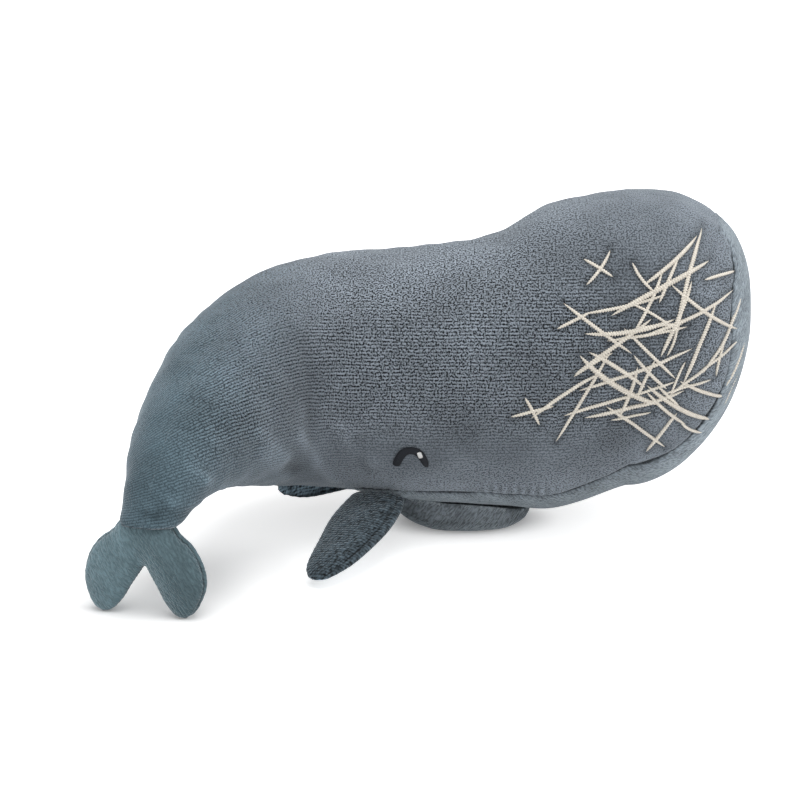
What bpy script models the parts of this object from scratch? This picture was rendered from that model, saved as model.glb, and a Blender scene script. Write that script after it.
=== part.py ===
"""Stuffed plush whale, resting on its lower jaw with its tail curled round to its right side.

Units are metres, +Z is up, +X points to the head and +Y to the whale's left.
The origin lies on the floor, at the middle of the flat patch under the lower jaw.
"""

import math

import bmesh
import bpy
import numpy as np
from mathutils import Vector

MM = 0.001

# Cloth, seams and clearances
CLOTH = 1.4 * MM
SEAM_GAP = 0.3 * MM
STUFFING_GAP = 0.6 * MM
PILLOW_GAP = 0.6 * MM
THREAD_GAP = 0.4 * MM
LIP_GAP = 0.5 * MM
HINGE_GAP = 0.4 * MM
FLAT_CUT = 0.5 * MM
WELD = 0.001 * MM

# Trunk and head
TRUNK_LENGTH = 146 * MM
FACE_DEPTH = 60.5 * MM
BODY_WIDTH = 118 * MM
HEAD_HEIGHT = 155 * MM
ORIGIN_SHARE = 0.452
SECTION_POWER = 2.3
BROW_POWER = 2.62
CHIN_POWER = 1.90

# Tail
TAIL_BACK = 85 * MM
TAIL_SIDE = 112 * MM
TAIL_END_WIDTH = 27 * MM
TAIL_END_DEPTH = 20 * MM
TAIL_TURN = math.radians(76)
TAIL_DIVE = math.radians(80)
TAIL_JOINT_SHOULDER = 5 * MM
TAIL_END_SETBACK_SHARE = 0.45

# Under gusset
GUSSET_WIDTH = 82 * MM

# Lower jaw
JAW_LENGTH = 71 * MM
JAW_WIDTH = 58 * MM
JAW_DEPTH = 13.6 * MM
JAW_ROOT_SHARE = 0.53
JAW_RIM = 3 * MM
JAW_POWER = 3.0

# Fins
FIN_LENGTH = 58 * MM
FIN_ROOT_WIDTH = 28 * MM
FIN_THICKNESS = 10 * MM
RIGHT_FIN_DROOP = math.radians(20)
LEFT_FIN_DROOP = math.radians(140)
LEFT_FIN_LAY_BACK = math.radians(60)

# Flukes
FLUKE_LENGTH = 41.1 * MM
FLUKE_SPAN = 59.5 * MM
FLUKE_THICKNESS = 15 * MM

# Closed eyes of satin stitch, with a white glint
EYE_WIDTH = 15 * MM
EYE_RISE = 9.1 * MM
EYE_THREAD_WIDTH = 4.2 * MM
EYE_THREAD_HEIGHT = 1.2 * MM
EYE_X = -27 * MM
EYE_HEIGHT = 49.6 * MM
EYE_ARCH_POWER = 2.8
EYE_TAPER_POWER = 6
GLINT_LENGTH = 3.2 * MM
GLINT_WIDTH = 2.2 * MM
GLINT_HEIGHT = 0.6 * MM
GLINT_PLACE_SHARE = 0.55
TIP_WIDTH_SHARE = 0.2

# Tail sections, from the tail end to the trunk: back, side, height, swell, turn and dive
TAIL_SHARES = (
    (1.00, 1.00, 0.00, 0.00, 1.00, 1.00),
    (0.94, 0.94, 0.28, 0.08, 0.98, 0.85),
    (0.86, 0.82, 0.54, 0.22, 0.92, 0.56),
    (0.75, 0.62, 0.71, 0.39, 0.82, 0.31),
    (0.62, 0.39, 0.82, 0.61, 0.66, 0.15),
    (0.45, 0.17, 0.92, 0.80, 0.42, 0.06),
    (0.27, 0.04, 0.965, 0.93, 0.18, 0.00),
)
# Trunk sections, from the tail to the cheek: along, centre height, half width, up and down
TRUNK_SHARES = (
    (0.00, 0.423, 0.966, 0.380, 0.363),
    (0.25, 0.429, 1.000, 0.384, 0.406),
    (0.51, 0.442, 1.000, 0.412, 0.442),
    (0.76, 0.487, 0.983, 0.481, 0.501),
    (1.00, 0.623, 0.949, 0.388, 0.566),
)
TAIL_ROWS = len(TAIL_SHARES)
CHEEK = TAIL_ROWS + len(TRUNK_SHARES) - 1
TAIL_JOINT = 4
NECK_SHARE = 8.5
ROUND = 2 * CHEEK + 1
ROW_STEP = 0.5
FACE_SHARES = (0.10, 0.25, 0.30, 0.38, 0.50, 0.62, 0.74, 0.84, 0.92)
END_STEP_SHARE = 0.01
QUARTER_STEPS = 5
GUSSET_STEPS = 6

# Where the gusset runs along the outline, and its half width there
GUSSET_SHARES = (
    (CHEEK + 0.23, 0.05),
    (CHEEK + 0.25, 0.46),
    (CHEEK + 0.30, 0.82),
    (CHEEK + 0.38, 0.93),
    (CHEEK + 0.50, 0.94),
    (CHEEK + 0.62, 0.88),
    (CHEEK + 0.72, 0.88),
    (CHEEK + 0.84, 0.98),
    (CHEEK + 1.00, 1.00),
    (CHEEK + 2.00, 1.00),
    (CHEEK + 3.00, 1.05),
    (CHEEK + 4.00, 0.99),
    (CHEEK + 4.50, 0.88),
    (CHEEK + 5.00, 0.66),
    (CHEEK + 5.50, 0.37),
    (CHEEK + 6.00, 0.05),
)
JAW_SEAM_SHARE = CHEEK + 4.22
FIN_ROOT_SHARES = (CHEEK + 4.00, CHEEK + 4.38, CHEEK + 4.76)
SEAM_STEP = SEAM_GAP / TRUNK_LENGTH * len(TRUNK_SHARES)

# Jaw outline from root to tip: along, half width and depth
JAW_SHARES = (
    (0.00, 0.30, 0.00),
    (0.03, 0.50, 0.44),
    (0.12, 0.70, 0.74),
    (0.28, 0.90, 0.98),
    (0.48, 1.00, 1.00),
    (0.66, 0.98, 1.00),
    (0.83, 0.82, 0.92),
    (0.95, 0.52, 0.66),
    (1.00, 0.20, 0.00),
)
# Fin edges from root to tip: out, front edge, back edge and thickness
FIN_SHARES = (
    (-0.09, 0.42, -0.36, 0.00),
    (-0.055, 0.48, -0.42, 0.74),
    (0.00, 0.55, -0.48, 1.00),
    (0.14, 0.57, -0.58, 1.00),
    (0.34, 0.49, -0.67, 1.00),
    (0.56, 0.33, -0.71, 0.96),
    (0.76, 0.12, -0.73, 0.84),
    (0.89, -0.06, -0.72, 0.66),
    (0.97, -0.22, -0.65, 0.46),
    (1.02, -0.36, -0.52, 0.00),
)
# Half of the flukes from the tip to the middle: outer edge, inner edge and thickness
FLUKE_SHARES = (
    (0.70, 1.00, 0.66, 1.00, 0.00),
    (0.88, 0.88, 0.50, 0.955, 0.46),
    (1.00, 0.62, 0.34, 0.82, 0.78),
    (0.95, 0.36, 0.22, 0.67, 0.88),
    (0.78, 0.15, 0.13, 0.56, 0.94),
    (0.56, 0.02, 0.07, 0.48, 1.00),
    (0.40, -0.12, 0.03, 0.43, 1.00),
    (0.20, -0.175, 0.01, 0.42, 1.00),
    (0.00, -0.18, 0.00, 0.42, 1.00),
)
PILLOW_STEPS = 4
JAW_STEPS = 6
PROBE_STEPS = 60
DRUM_SIDES = 40
THREAD_SIDES = 8

COLLECTION = "plush_whale"
SLATE = (0.105, 0.137, 0.160, 1)
SEA_GREY = (0.098, 0.146, 0.168, 1)
PALE_SLATE = (0.175, 0.205, 0.225, 1)
DEEP_SLATE = (0.068, 0.088, 0.104, 1)
FIBRE_WHITE = (0.80, 0.80, 0.78, 1)
THREAD_BLACK = (0.012, 0.014, 0.018, 1)
THREAD_WHITE = (0.85, 0.85, 0.84, 1)


# Smooth curve through the rows of a table, at the row positions asked for
def smooth(table, places):
    rows = np.asarray(table, float)
    places = np.atleast_1d(np.asarray(places, float))
    first = np.clip(np.floor(places).astype(int), 0, len(rows) - 2)
    t = (places - first)[:, None]
    last = len(rows) - 1
    before, start = rows[np.maximum(first - 1, 0)], rows[first]
    end, after = rows[first + 1], rows[np.minimum(first + 2, last)]
    bend = 2 * before - 5 * start + 4 * end - after
    twist = -before + 3 * start - 3 * end + after
    return 0.5 * (2 * start + (end - before) * t + bend * t**2 + twist * t**3)


def palate_height():
    return JAW_DEPTH - FLAT_CUT + LIP_GAP


def tail_end_height():
    return FLUKE_LENGTH * math.sin(TAIL_DIVE) - FLAT_CUT


# Every section: centre x, y, z, half width, height up and down, turn and dive
def sections():
    along, centre, wide, up, down = np.array(TRUNK_SHARES).T
    none = np.zeros(len(along))
    trunk = np.column_stack((
        (along - ORIGIN_SHARE) * TRUNK_LENGTH,
        none,
        palate_height() + centre * HEAD_HEIGHT,
        wide * BODY_WIDTH / 2,
        up * HEAD_HEIGHT,
        down * HEAD_HEIGHT,
        none,
        none,
    ))
    back, side, rise, swell, turn, dive = np.array(TAIL_SHARES).T
    start = trunk[0]

    def grow(end_size, trunk_size):
        return end_size + swell * (trunk_size - end_size)

    tail = np.column_stack((
        start[0] - back * TAIL_BACK,
        -side * TAIL_SIDE,
        tail_end_height() + rise * (start[2] - tail_end_height()),
        grow(TAIL_END_WIDTH / 2, start[3]),
        grow(TAIL_END_DEPTH / 2, start[4]),
        grow(TAIL_END_DEPTH / 2, start[5]),
        turn * TAIL_TURN,
        dive * TAIL_DIVE,
    ))
    return np.concatenate((tail, trunk))


SECTIONS = sections()


# Centre, half width, up, down and the three directions of a section
def section(places):
    rows = smooth(SECTIONS, places)
    turn, dive = rows[:, 6], rows[:, 7]
    level = np.cos(dive)
    ahead = np.column_stack((level * np.cos(turn), level * np.sin(turn), np.sin(dive)))
    left = np.column_stack((-np.sin(turn), np.cos(turn), 0 * turn))
    return rows[:, :3], rows[:, 3], rows[:, 4], rows[:, 5], ahead, left, np.cross(ahead, left)


# Ribs from the outline of the side view to its middle line.
# Places 0 to CHEEK run along the back, then round the face, then back along the underside.
def ribs(places, inset):
    places = np.asarray(places, float)
    under = places > CHEEK + 1
    face = (places > CHEEK) & ~under
    along = np.where(under, ROUND - places, np.minimum(places, CHEEK))
    centre, wide, up, down, _, left, rise = section(along)
    reach = rise * np.where(under, -(down - inset), up - inset)[:, None]
    turn = math.pi * (CHEEK + 0.5 - places)
    forward, upward = np.cos(turn), np.sin(turn)
    height = np.where(upward > 0, up, down)
    power = np.where(upward > 0, BROW_POWER, CHIN_POWER)
    length = (np.abs(forward / FACE_DEPTH) ** power + np.abs(upward / height) ** power) ** (-1 / power)
    fan = np.column_stack((forward, 0 * forward, upward)) * (length - inset)[:, None]
    reach = np.where(face[:, None], fan, reach)
    return centre, reach, left * (wide - inset)[:, None], wide - inset


# Points on the skin: ribs crossed by sideways distances, given as shares of the half width
def skin(places, sideways, inset=0.0):
    centre, reach, left, _ = ribs(places, inset)
    inward = (1 - np.abs(sideways) ** SECTION_POWER) ** (1 / SECTION_POWER)
    return centre[:, None] + inward[..., None] * reach[:, None] + sideways[..., None] * left[:, None]


# Half width of the gusset at each place along the outline
def gusset_half(places):
    where, share = np.array(GUSSET_SHARES).T
    return np.interp(places, where, share, left=0, right=0) * GUSSET_WIDTH / 2


# Sideways shares from a starting distance to the widest point, closer together near it
def side_shares(places, inset, start, steps):
    _, _, _, wide = ribs(places, inset)
    low = np.arcsin((start / wide) ** (SECTION_POWER / 2))
    angle = low[:, None] + (math.pi / 2 - low)[:, None] * np.linspace(0, 1, steps + 1)
    share = np.sin(angle) ** (2 / SECTION_POWER)
    share[:, -1] = 1
    return share


# Outline places used by every skin piece; the gusset's two ends are doubled to a blunt step
def outline_places():
    back = np.arange(0, CHEEK + ROW_STEP / 2, ROW_STEP)
    under = np.arange(CHEEK + 1, ROUND + ROW_STEP / 2, ROW_STEP)
    face = CHEEK + np.array(FACE_SHARES)
    tip, end = GUSSET_SHARES[0][0], GUSSET_SHARES[-1][0]
    ends = (tip - END_STEP_SHARE, tip, end, end + END_STEP_SHARE)
    neck = NECK_SHARE + SEAM_STEP
    seams = (neck, ROUND - neck, JAW_SEAM_SHARE, JAW_SEAM_SHARE + SEAM_STEP)
    return np.unique(np.concatenate((back, face, under, seams, ends)))


# Triangles of a grid of points, numbered from a first vertex; turned quads split the other way
def grid_faces(rows, columns, first=0, turned=False):
    index = first + np.arange(rows * columns).reshape(rows, columns)
    a, b, c, d = index[:-1, :-1], index[1:, :-1], index[1:, 1:], index[:-1, 1:]
    near = np.stack((a, b, np.where(turned, d, c)), -1)
    far = np.stack((np.where(turned, b, a), c, d), -1)
    return np.concatenate((near, far)).reshape(-1, 3)


# Quads turned in two opposite quarters of a grid, so that no corner of a pillow folds flat
def corner_turns(rows, columns):
    early = np.arange(rows - 1) < (rows - 1) / 2
    near = np.arange(columns - 1) < (columns - 1) / 2
    return early[:, None] != near


# Vertex numbers round a grid, leaving out its last column where that is a fold
def border(rows, columns, fold):
    index = np.arange(rows * columns).reshape(rows, columns)
    chain = [*index[0, ::-1], *index[1:, 0], *index[-1, 1:]]
    return chain if fold else chain + [*index[-2:0:-1, -1], chain[0]]


# Closed wall between an outer and an inner grid of the same size
def wall(outer, inner, fold=False, turned=False):
    rows, columns = outer.shape[:2]
    count = rows * columns
    chain = np.array(border(rows, columns, fold))
    start, end = chain[:-1], chain[1:]
    rim = np.stack((start, end, end + count), -1), np.stack((start, end + count, start + count), -1)
    points = np.concatenate((outer.reshape(-1, 3), inner.reshape(-1, 3)))
    outside = grid_faces(rows, columns, 0, turned)
    inside = grid_faces(rows, columns, count, turned)
    return points, np.concatenate((outside, inside, *rim))


def collection(name):
    found = bpy.data.collections.new(name)
    bpy.context.scene.collection.children.link(found)
    return found


def material(name, colour, roughness):
    made = bpy.data.materials.new(name)
    made.use_nodes = True
    shader = made.node_tree.nodes["Principled BSDF"]
    shader.inputs["Base Color"].default_value = colour
    shader.inputs["Roughness"].default_value = roughness
    shader.inputs["Metallic"].default_value = 0
    return made


# Mesh object from points and faces, welded, its holes filled and its faces turned outwards
def solid(name, points, faces, colour, origin=(0, 0, 0), roughness=0.95):
    mesh = bpy.data.meshes.new(name)
    mesh.from_pydata((points - np.asarray(origin)).tolist(), [], faces.tolist())
    bm = bmesh.new()
    bm.from_mesh(mesh)
    bmesh.ops.remove_doubles(bm, verts=bm.verts, dist=WELD)
    bmesh.ops.dissolve_degenerate(bm, dist=WELD, edges=bm.edges)
    bmesh.ops.holes_fill(bm, edges=[edge for edge in bm.edges if edge.is_boundary], sides=0)
    bmesh.ops.recalc_face_normals(bm, faces=bm.faces)
    if bm.calc_volume(signed=True) < 0:
        bmesh.ops.reverse_faces(bm, faces=bm.faces)
    bm.to_mesh(mesh)
    bm.free()
    mesh.shade_smooth()
    made = bpy.data.objects.new(name, mesh)
    made.location = origin
    mesh.materials.append(material(name, colour, roughness))
    bpy.data.collections[COLLECTION].objects.link(made)
    return made


def cutter(name, mesh, location=(0, 0, 0)):
    made = bpy.data.objects.new(name, mesh)
    made.location = location
    made.hide_render = True
    made.display_type = "WIRE"
    bpy.data.collections["cutters"].objects.link(made)
    return made


def cut(target, tool, operation="DIFFERENCE", solver="EXACT"):
    boolean = target.modifiers.new(tool.name, "BOOLEAN")
    boolean.object = tool
    boolean.operation = operation
    boolean.solver = solver


# Side panel of one side, over the whole body: a grid that folds along the middle of the side
def side_panel_grid(side, inset):
    places = outline_places()
    share = side_shares(places, inset, gusset_half(places) + SEAM_GAP / 2, QUARTER_STEPS)
    return skin(places, side * share, inset)


# Gusset between two places along the outline
def gusset_grid(first, last, inset):
    places = places_between(first, last)
    _, _, _, wide = ribs(places, inset)
    half = (gusset_half(places) - SEAM_GAP / 2) / wide
    return skin(places, half[:, None] * np.linspace(-1, 1, GUSSET_STEPS + 1), inset)


# Closed lump of stuffing over the outline places given, with the skin's own rows and columns
def stuffing_lump(places):
    inset = CLOTH + STUFFING_GAP
    _, _, _, wide = ribs(places, inset)
    half = gusset_half(places)
    side = side_shares(places, inset, half, QUARTER_STEPS)
    middle = (half / wide)[:, None] * np.linspace(-1, 1, GUSSET_STEPS + 1)
    across = np.concatenate((-side[:, :0:-1], middle, side[:, 1:]), axis=1)
    grid = skin(places, across, inset)
    return grid.reshape(-1, 3), grid_faces(*grid.shape[:2])


# Outline places between two of them, with both ends
def places_between(first, last):
    places = outline_places()
    inside = places[(places > first + WELD) & (places < last - WELD)]
    return np.concatenate(([first], inside, [last]))


# Region that belongs to the swinging tail: a drum on the joint and everything behind it
def tail_region(name, grow):
    centre, wide, _, _, ahead, _, _ = section([TAIL_JOINT])
    radius = wide[0] + TAIL_JOINT_SHOULDER + grow
    reach = TAIL_BACK + TAIL_SIDE
    bm = bmesh.new()
    bmesh.ops.create_cone(
        bm, cap_ends=True, segments=DRUM_SIDES, radius1=radius, radius2=radius, depth=2 * HEAD_HEIGHT
    )
    drum = bpy.data.meshes.new(name)
    bm.to_mesh(drum)
    bm.free()
    bm = bmesh.new()
    bmesh.ops.create_cube(bm, size=1)
    bmesh.ops.translate(bm, verts=bm.verts, vec=(-0.5, 0, 0))
    bmesh.ops.scale(bm, verts=bm.verts, vec=(reach, 2 * reach, 2 * HEAD_HEIGHT))
    bmesh.ops.translate(bm, verts=bm.verts, vec=(grow, 0, 0))
    behind = bpy.data.meshes.new(name + "_behind")
    bm.to_mesh(behind)
    bm.free()
    made = cutter(name, drum, centre[0])
    block = cutter(name + "_behind", behind, centre[0])
    block.rotation_euler.z = math.atan2(ahead[0, 1], ahead[0, 0])
    cut(made, block, "UNION")
    return made


# Socket in the tail end for the rounded root of the flukes, with the end cut short of its axis
def fluke_socket():
    centre, _, _, _, ahead, left, _ = section([0])
    radius = FLUKE_THICKNESS / 2 + HINGE_GAP
    bm = bmesh.new()
    bmesh.ops.create_cone(
        bm, cap_ends=True, segments=DRUM_SIDES, radius1=radius, radius2=radius, depth=3 * TAIL_END_WIDTH
    )
    mesh = bpy.data.meshes.new("fluke_socket")
    bm.to_mesh(mesh)
    bm.free()
    made = cutter("fluke_socket", mesh, centre[0])
    made.rotation_euler = Vector(left[0]).to_track_quat("Z", "Y").to_euler()
    bm = bmesh.new()
    bmesh.ops.create_cube(bm, size=1)
    bmesh.ops.translate(bm, verts=bm.verts, vec=(0, 0, -0.5))
    bmesh.ops.scale(bm, verts=bm.verts, vec=(3 * TAIL_END_WIDTH,) * 3)
    lift = TAIL_END_SETBACK_SHARE * FLUKE_THICKNESS / 2
    bmesh.ops.translate(bm, verts=bm.verts, vec=(0, 0, lift))
    block = bpy.data.meshes.new("fluke_clearance")
    bm.to_mesh(block)
    bm.free()
    end = cutter("fluke_clearance", block, centre[0])
    end.rotation_euler = Vector(ahead[0]).to_track_quat("Z", "Y").to_euler()
    cut(made, end, "UNION")
    return made


def floor_block():
    bm = bmesh.new()
    bmesh.ops.create_cube(bm, size=1)
    bmesh.ops.translate(bm, verts=bm.verts, vec=(0, 0, -0.5))
    bmesh.ops.scale(bm, verts=bm.verts, vec=(6 * TRUNK_LENGTH, 6 * TRUNK_LENGTH, HEAD_HEIGHT))
    mesh = bpy.data.meshes.new("floor_block")
    bm.to_mesh(mesh)
    bm.free()
    return cutter("floor_block", mesh)


# Skin and stuffing of the trunk, the head and the tail
def build_body():
    regions = tail_region("body_cut", SEAM_GAP / 2), tail_region("tail_cut", -SEAM_GAP / 2)
    socket = fluke_socket()
    tail_origin = section([TAIL_JOINT])[0][0]
    for side, word in ((-1, "right"), (1, "left")):
        grids = side_panel_grid(side, 0), side_panel_grid(side, CLOTH)
        points, faces = wall(*grids, fold=True, turned=side < 0)
        body_side = solid(f"side_panel_{word}", points, faces, SLATE)
        cut(body_side, regions[0])
        tail_side = solid(f"tail_panel_{word}", points, faces, SEA_GREY, tail_origin)
        cut(tail_side, regions[1], "INTERSECT")
        cut(tail_side, socket)
    first, last = GUSSET_SHARES[0][0], GUSSET_SHARES[-1][0]
    for name, start, end in (
        ("face_gusset", first, JAW_SEAM_SHARE),
        ("belly_gusset", JAW_SEAM_SHARE + SEAM_STEP, last - SEAM_STEP),
    ):
        solid(name, *wall(gusset_grid(start, end, 0), gusset_grid(start, end, CLOTH)), PALE_SLATE)
    front = NECK_SHARE + SEAM_STEP
    lump_points, lump_faces = stuffing_lump(places_between(0, NECK_SHARE))
    under_points, under_faces = stuffing_lump(places_between(ROUND - NECK_SHARE, ROUND))
    points = np.concatenate((lump_points, under_points))
    faces = np.concatenate((lump_faces, under_faces + len(lump_points)))
    body = solid("body_stuffing", points, faces, FIBRE_WHITE)
    cut(body, regions[0])
    tail = solid("tail_stuffing", points, faces, FIBRE_WHITE, tail_origin)
    cut(tail, regions[1], "INTERSECT")
    cut(tail, socket)
    solid("head_stuffing", *stuffing_lump(places_between(front, ROUND - front)), FIBRE_WHITE)


# Rounded height across a pillow: nothing at its two edges and one in the middle
def swell(across, power=2.0):
    return (1 - np.abs(2 * across - 1) ** power) ** (1 / power)


# Outline of two edges moved inwards by a distance, in its own plane
def inset_edges(front, back, distance):
    loop = np.concatenate((front, back[::-1]))
    keep = np.r_[True, np.linalg.norm(np.diff(loop, axis=0), axis=1) > WELD]
    if np.linalg.norm(loop[0] - loop[-1]) < WELD:
        keep[-1] = False
    ring = loop[keep]
    ahead = np.roll(ring, -1, axis=0) - ring
    ahead /= np.linalg.norm(ahead, axis=1)[:, None]
    area = np.sum(ring[:, 0] * np.roll(ring[:, 1], -1) - ring[:, 1] * np.roll(ring[:, 0], -1))
    normal = np.column_stack((-ahead[:, 1], ahead[:, 0])) * np.sign(area)
    corner = normal + np.roll(normal, 1, axis=0)
    corner /= np.maximum(np.sum(corner * normal, axis=1), 0.5)[:, None]
    moved = ring + distance * corner
    place = np.cumsum(keep) - 1
    place[~keep] = [place[i - 1] if i < len(loop) - 1 else 0 for i in np.flatnonzero(~keep)]
    loop = moved[place]
    return loop[: len(front)], loop[len(front):][::-1]


# Upper or lower grid of a flat pillow, in its own axes: two in its plane and one across it
def pillow_grid(front, back, thick, side, inset, base):
    front, back = inset_edges(front, back, inset)
    across = np.linspace(0, 1, PILLOW_STEPS + 1)
    across = (1 - np.cos(math.pi * across)) / 2
    flat = front[:, None] * (1 - across)[:, None] + back[:, None] * across[:, None]
    least = thick * (1 - inset / thick.max()) / 2
    height = np.maximum(thick - inset, least)[:, None] * swell(across) + base
    return np.concatenate((flat, (side * height)[..., None]), axis=2)


# Two cloth panels and the stuffing of a pillow, placed by its origin and three directions
def build_pillow(names, edges, origin, axes, colours):
    front, back, thick = edges

    def placed(grid):
        return origin + grid @ np.asarray(axes)

    panels = []
    rows, columns = len(front), PILLOW_STEPS + 1
    turned = corner_turns(rows, columns)
    for name, side, colour in zip(names, (1, -1), colours):
        grids = [
            placed(pillow_grid(front, back, thick, side, inset, SEAM_GAP / 2))
            for inset in (0, CLOTH)
        ]
        panels.append(solid(name, *wall(*grids, turned=turned), colour, origin))
    inset = CLOTH + PILLOW_GAP
    halves = [placed(pillow_grid(front, back, thick, side, inset, 0)) for side in (1, -1)]
    points = np.concatenate([half.reshape(-1, 3) for half in halves])
    count = rows * columns
    faces = np.concatenate([grid_faces(rows, columns, first, turned) for first in (0, count)])
    solid(names[2], points, faces, FIBRE_WHITE, origin)
    return panels


# Hinge line of a fin, lying on the seam between the side and the gusset
def fin_hinge(side):
    _, _, _, wide = ribs(FIN_ROOT_SHARES, 0)
    seam = side * gusset_half(FIN_ROOT_SHARES)
    near, far = seam + side * CLOTH, seam + side * 2 * CLOTH
    front, middle, back = skin(FIN_ROOT_SHARES, (near / wide)[:, None])[:, 0]
    over = skin(FIN_ROOT_SHARES, (far / wide)[:, None])[1, 0]
    along = (front - back) / np.linalg.norm(front - back)
    outward = -side * np.cross(along, over - middle)
    outward /= np.linalg.norm(outward)
    return middle + outward * (FIN_THICKNESS / 2 + HINGE_GAP), along


# Outline of a fin laid back in its own plane, more and more from the root outwards
def laid_back(edge, angle):
    share = np.clip(edge[:, 1] / FIN_ROOT_WIDTH, 0, 1)
    turn = angle * share
    x = edge[:, 0] * np.cos(turn) - edge[:, 1] * np.sin(turn)
    return np.column_stack((x, edge[:, 0] * np.sin(turn) + edge[:, 1] * np.cos(turn)))


def build_fin(side, word, droop, lay_back=0.0):
    origin, along = fin_hinge(side)
    level = -side * np.cross(along, (0, 0, 1))
    level /= np.linalg.norm(level)
    raised = side * np.cross(along, level)
    blade = math.cos(droop) * level - math.sin(droop) * raised
    upper = math.cos(droop) * raised + math.sin(droop) * level
    out, front, back, thick = np.array(FIN_SHARES).T
    edges = (
        laid_back(np.column_stack((front * FIN_ROOT_WIDTH, out * FIN_LENGTH)), lay_back),
        laid_back(np.column_stack((back * FIN_ROOT_WIDTH, out * FIN_LENGTH)), lay_back),
        thick * FIN_THICKNESS / 2,
    )
    names = (f"{word}_fin_top_panel", f"{word}_fin_under_panel", f"{word}_fin_stuffing")
    build_pillow(names, edges, origin, (along, blade, upper), (DEEP_SLATE, DEEP_SLATE))


# Flukes hang from the tail end in line with it, their tips resting on the floor
def build_flukes(floor):
    centre, _, _, _, ahead, left, rise = section([0])
    half = np.array(FLUKE_SHARES)
    whole = np.concatenate((half, (half * (-1, 1, -1, 1, 1))[-2::-1]))
    outer_x, outer_y, inner_x, inner_y, thick = whole.T
    edges = (
        np.column_stack((outer_x * FLUKE_SPAN / 2, outer_y * FLUKE_LENGTH)),
        np.column_stack((inner_x * FLUKE_SPAN / 2, inner_y * FLUKE_LENGTH)),
        thick * FLUKE_THICKNESS / 2,
    )
    names = ("fluke_top_panel", "fluke_under_panel", "fluke_stuffing")
    axes = (left[0], -ahead[0], rise[0])
    for panel in build_pillow(names, edges, centre[0], axes, (SEA_GREY, SEA_GREY)):
        cut(panel, floor, solver="MANIFOLD")


# Height of the skin's underside over a point of the floor, for the straight part of the trunk
def underside(x, y):
    rows = np.linspace(TAIL_ROWS, CHEEK, PROBE_STEPS)
    centre, wide, _, down, _, _, _ = section(rows)
    low = np.interp(x, centre[:, 0], centre[:, 2])
    half = np.interp(x, centre[:, 0], wide)
    drop = np.interp(x, centre[:, 0], down)
    return low - drop * (1 - np.abs(y / half) ** SECTION_POWER) ** (1 / SECTION_POWER)


# Plan of the jaw narrowed by an inset: points across it, with the depth share of each row
def jaw_plan(rows, inset):
    along, half, deep = rows.T
    x = (along - JAW_ROOT_SHARE) * JAW_LENGTH
    edge = half * JAW_WIDTH / 2
    left, right = inset_edges(np.column_stack((x, edge)), np.column_stack((x, -edge)), inset)
    across = (1 - np.cos(math.pi * np.linspace(0, 1, JAW_STEPS + 1))) / 2
    flat = left[:, None] * (1 - across)[:, None] + right[:, None] * across[:, None]
    return flat, deep[:, None], swell(across, JAW_POWER)


# Height of the roof of the mouth over points of the plan
def jaw_roof(flat):
    return underside(flat[..., 0], flat[..., 1]) - LIP_GAP


# Surface of the jaw at a depth below the roof of the mouth
def jaw_surface(flat, depth):
    return np.concatenate((flat, (jaw_roof(flat) - depth)[..., None]), axis=2)


# The bowl reaches from the roof of the mouth to just under the floor, where it is cut flat
def build_jaw(floor):
    rows = np.array(JAW_SHARES)
    x = -JAW_ROOT_SHARE * JAW_LENGTH
    origin = np.array((x, 0, underside(x, 0) - LIP_GAP))
    bowl = []
    for inset in (0, CLOTH):
        flat, deep, bulge = jaw_plan(rows, inset)
        room = jaw_roof(flat) + FLAT_CUT - inset
        bowl.append(jaw_surface(flat, deep * room * bulge))
    cut(solid("jaw_under_panel", *wall(*bowl), PALE_SLATE, origin), floor)
    flat, _, _ = jaw_plan(rows, JAW_RIM)
    lid = wall(jaw_surface(flat, 0), jaw_surface(flat, CLOTH))
    solid("jaw_roof_panel", *lid, PALE_SLATE, origin)
    top = CLOTH + PILLOW_GAP
    flat, deep, bulge = jaw_plan(rows[2:-1], JAW_RIM + PILLOW_GAP)
    room = jaw_roof(flat) + FLAT_CUT - CLOTH
    fill = deep * room - PILLOW_GAP - top
    lump = wall(jaw_surface(flat, top), jaw_surface(flat, top + fill * bulge))
    solid("jaw_stuffing", *lump, FIBRE_WHITE, origin)


# Point of the side at a given x and height, with the outward direction there
def side_point(side, x, z):
    rows = np.linspace(TAIL_ROWS, CHEEK, PROBE_STEPS)
    centre, wide, up, down, _, _, _ = section(rows)
    sizes = centre[:, 2], up, down, wide

    def breadth(at_x, at_z):
        middle, over, under, half = (np.interp(at_x, centre[:, 0], value) for value in sizes)
        share = np.abs((at_z - middle) / np.where(at_z > middle, over, under))
        return half * (1 - share**SECTION_POWER) ** (1 / SECTION_POWER)

    step = CLOTH
    y = breadth(x, z)
    slope_x = (breadth(x + step, z) - breadth(x - step, z)) / (2 * step)
    slope_z = (breadth(x, z + step) - breadth(x, z - step)) / (2 * step)
    outward = np.column_stack((-slope_x, side + 0 * y, -slope_z))
    outward /= np.linalg.norm(outward, axis=1)[:, None]
    return np.column_stack((x, side * y, z)), outward


# Flat bar of satin stitch laid along a path on the skin, tapering to its two ends
def stitch_bar(name, path, outward, half_width, half_height, colour):
    along = np.gradient(path, axis=0)
    along /= np.linalg.norm(along, axis=1)[:, None]
    across = np.cross(outward, along)
    angle = np.linspace(0, 2 * math.pi, THREAD_SIDES + 1)
    ring = half_width[:, None, None] * np.cos(angle)[:, None] * across[:, None]
    ring = ring + half_height[:, None, None] * np.sin(angle)[:, None] * outward[:, None]
    grid = path[:, None] + ring
    return solid(name, grid.reshape(-1, 3), grid_faces(*grid.shape[:2]), colour, roughness=0.6)


# Share of the full width along a bar of thread, narrow at both ends
def thread_taper(along, power):
    return np.sqrt(np.clip(1 - np.abs(along) ** power, TIP_WIDTH_SHARE**2, 1))


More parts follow.
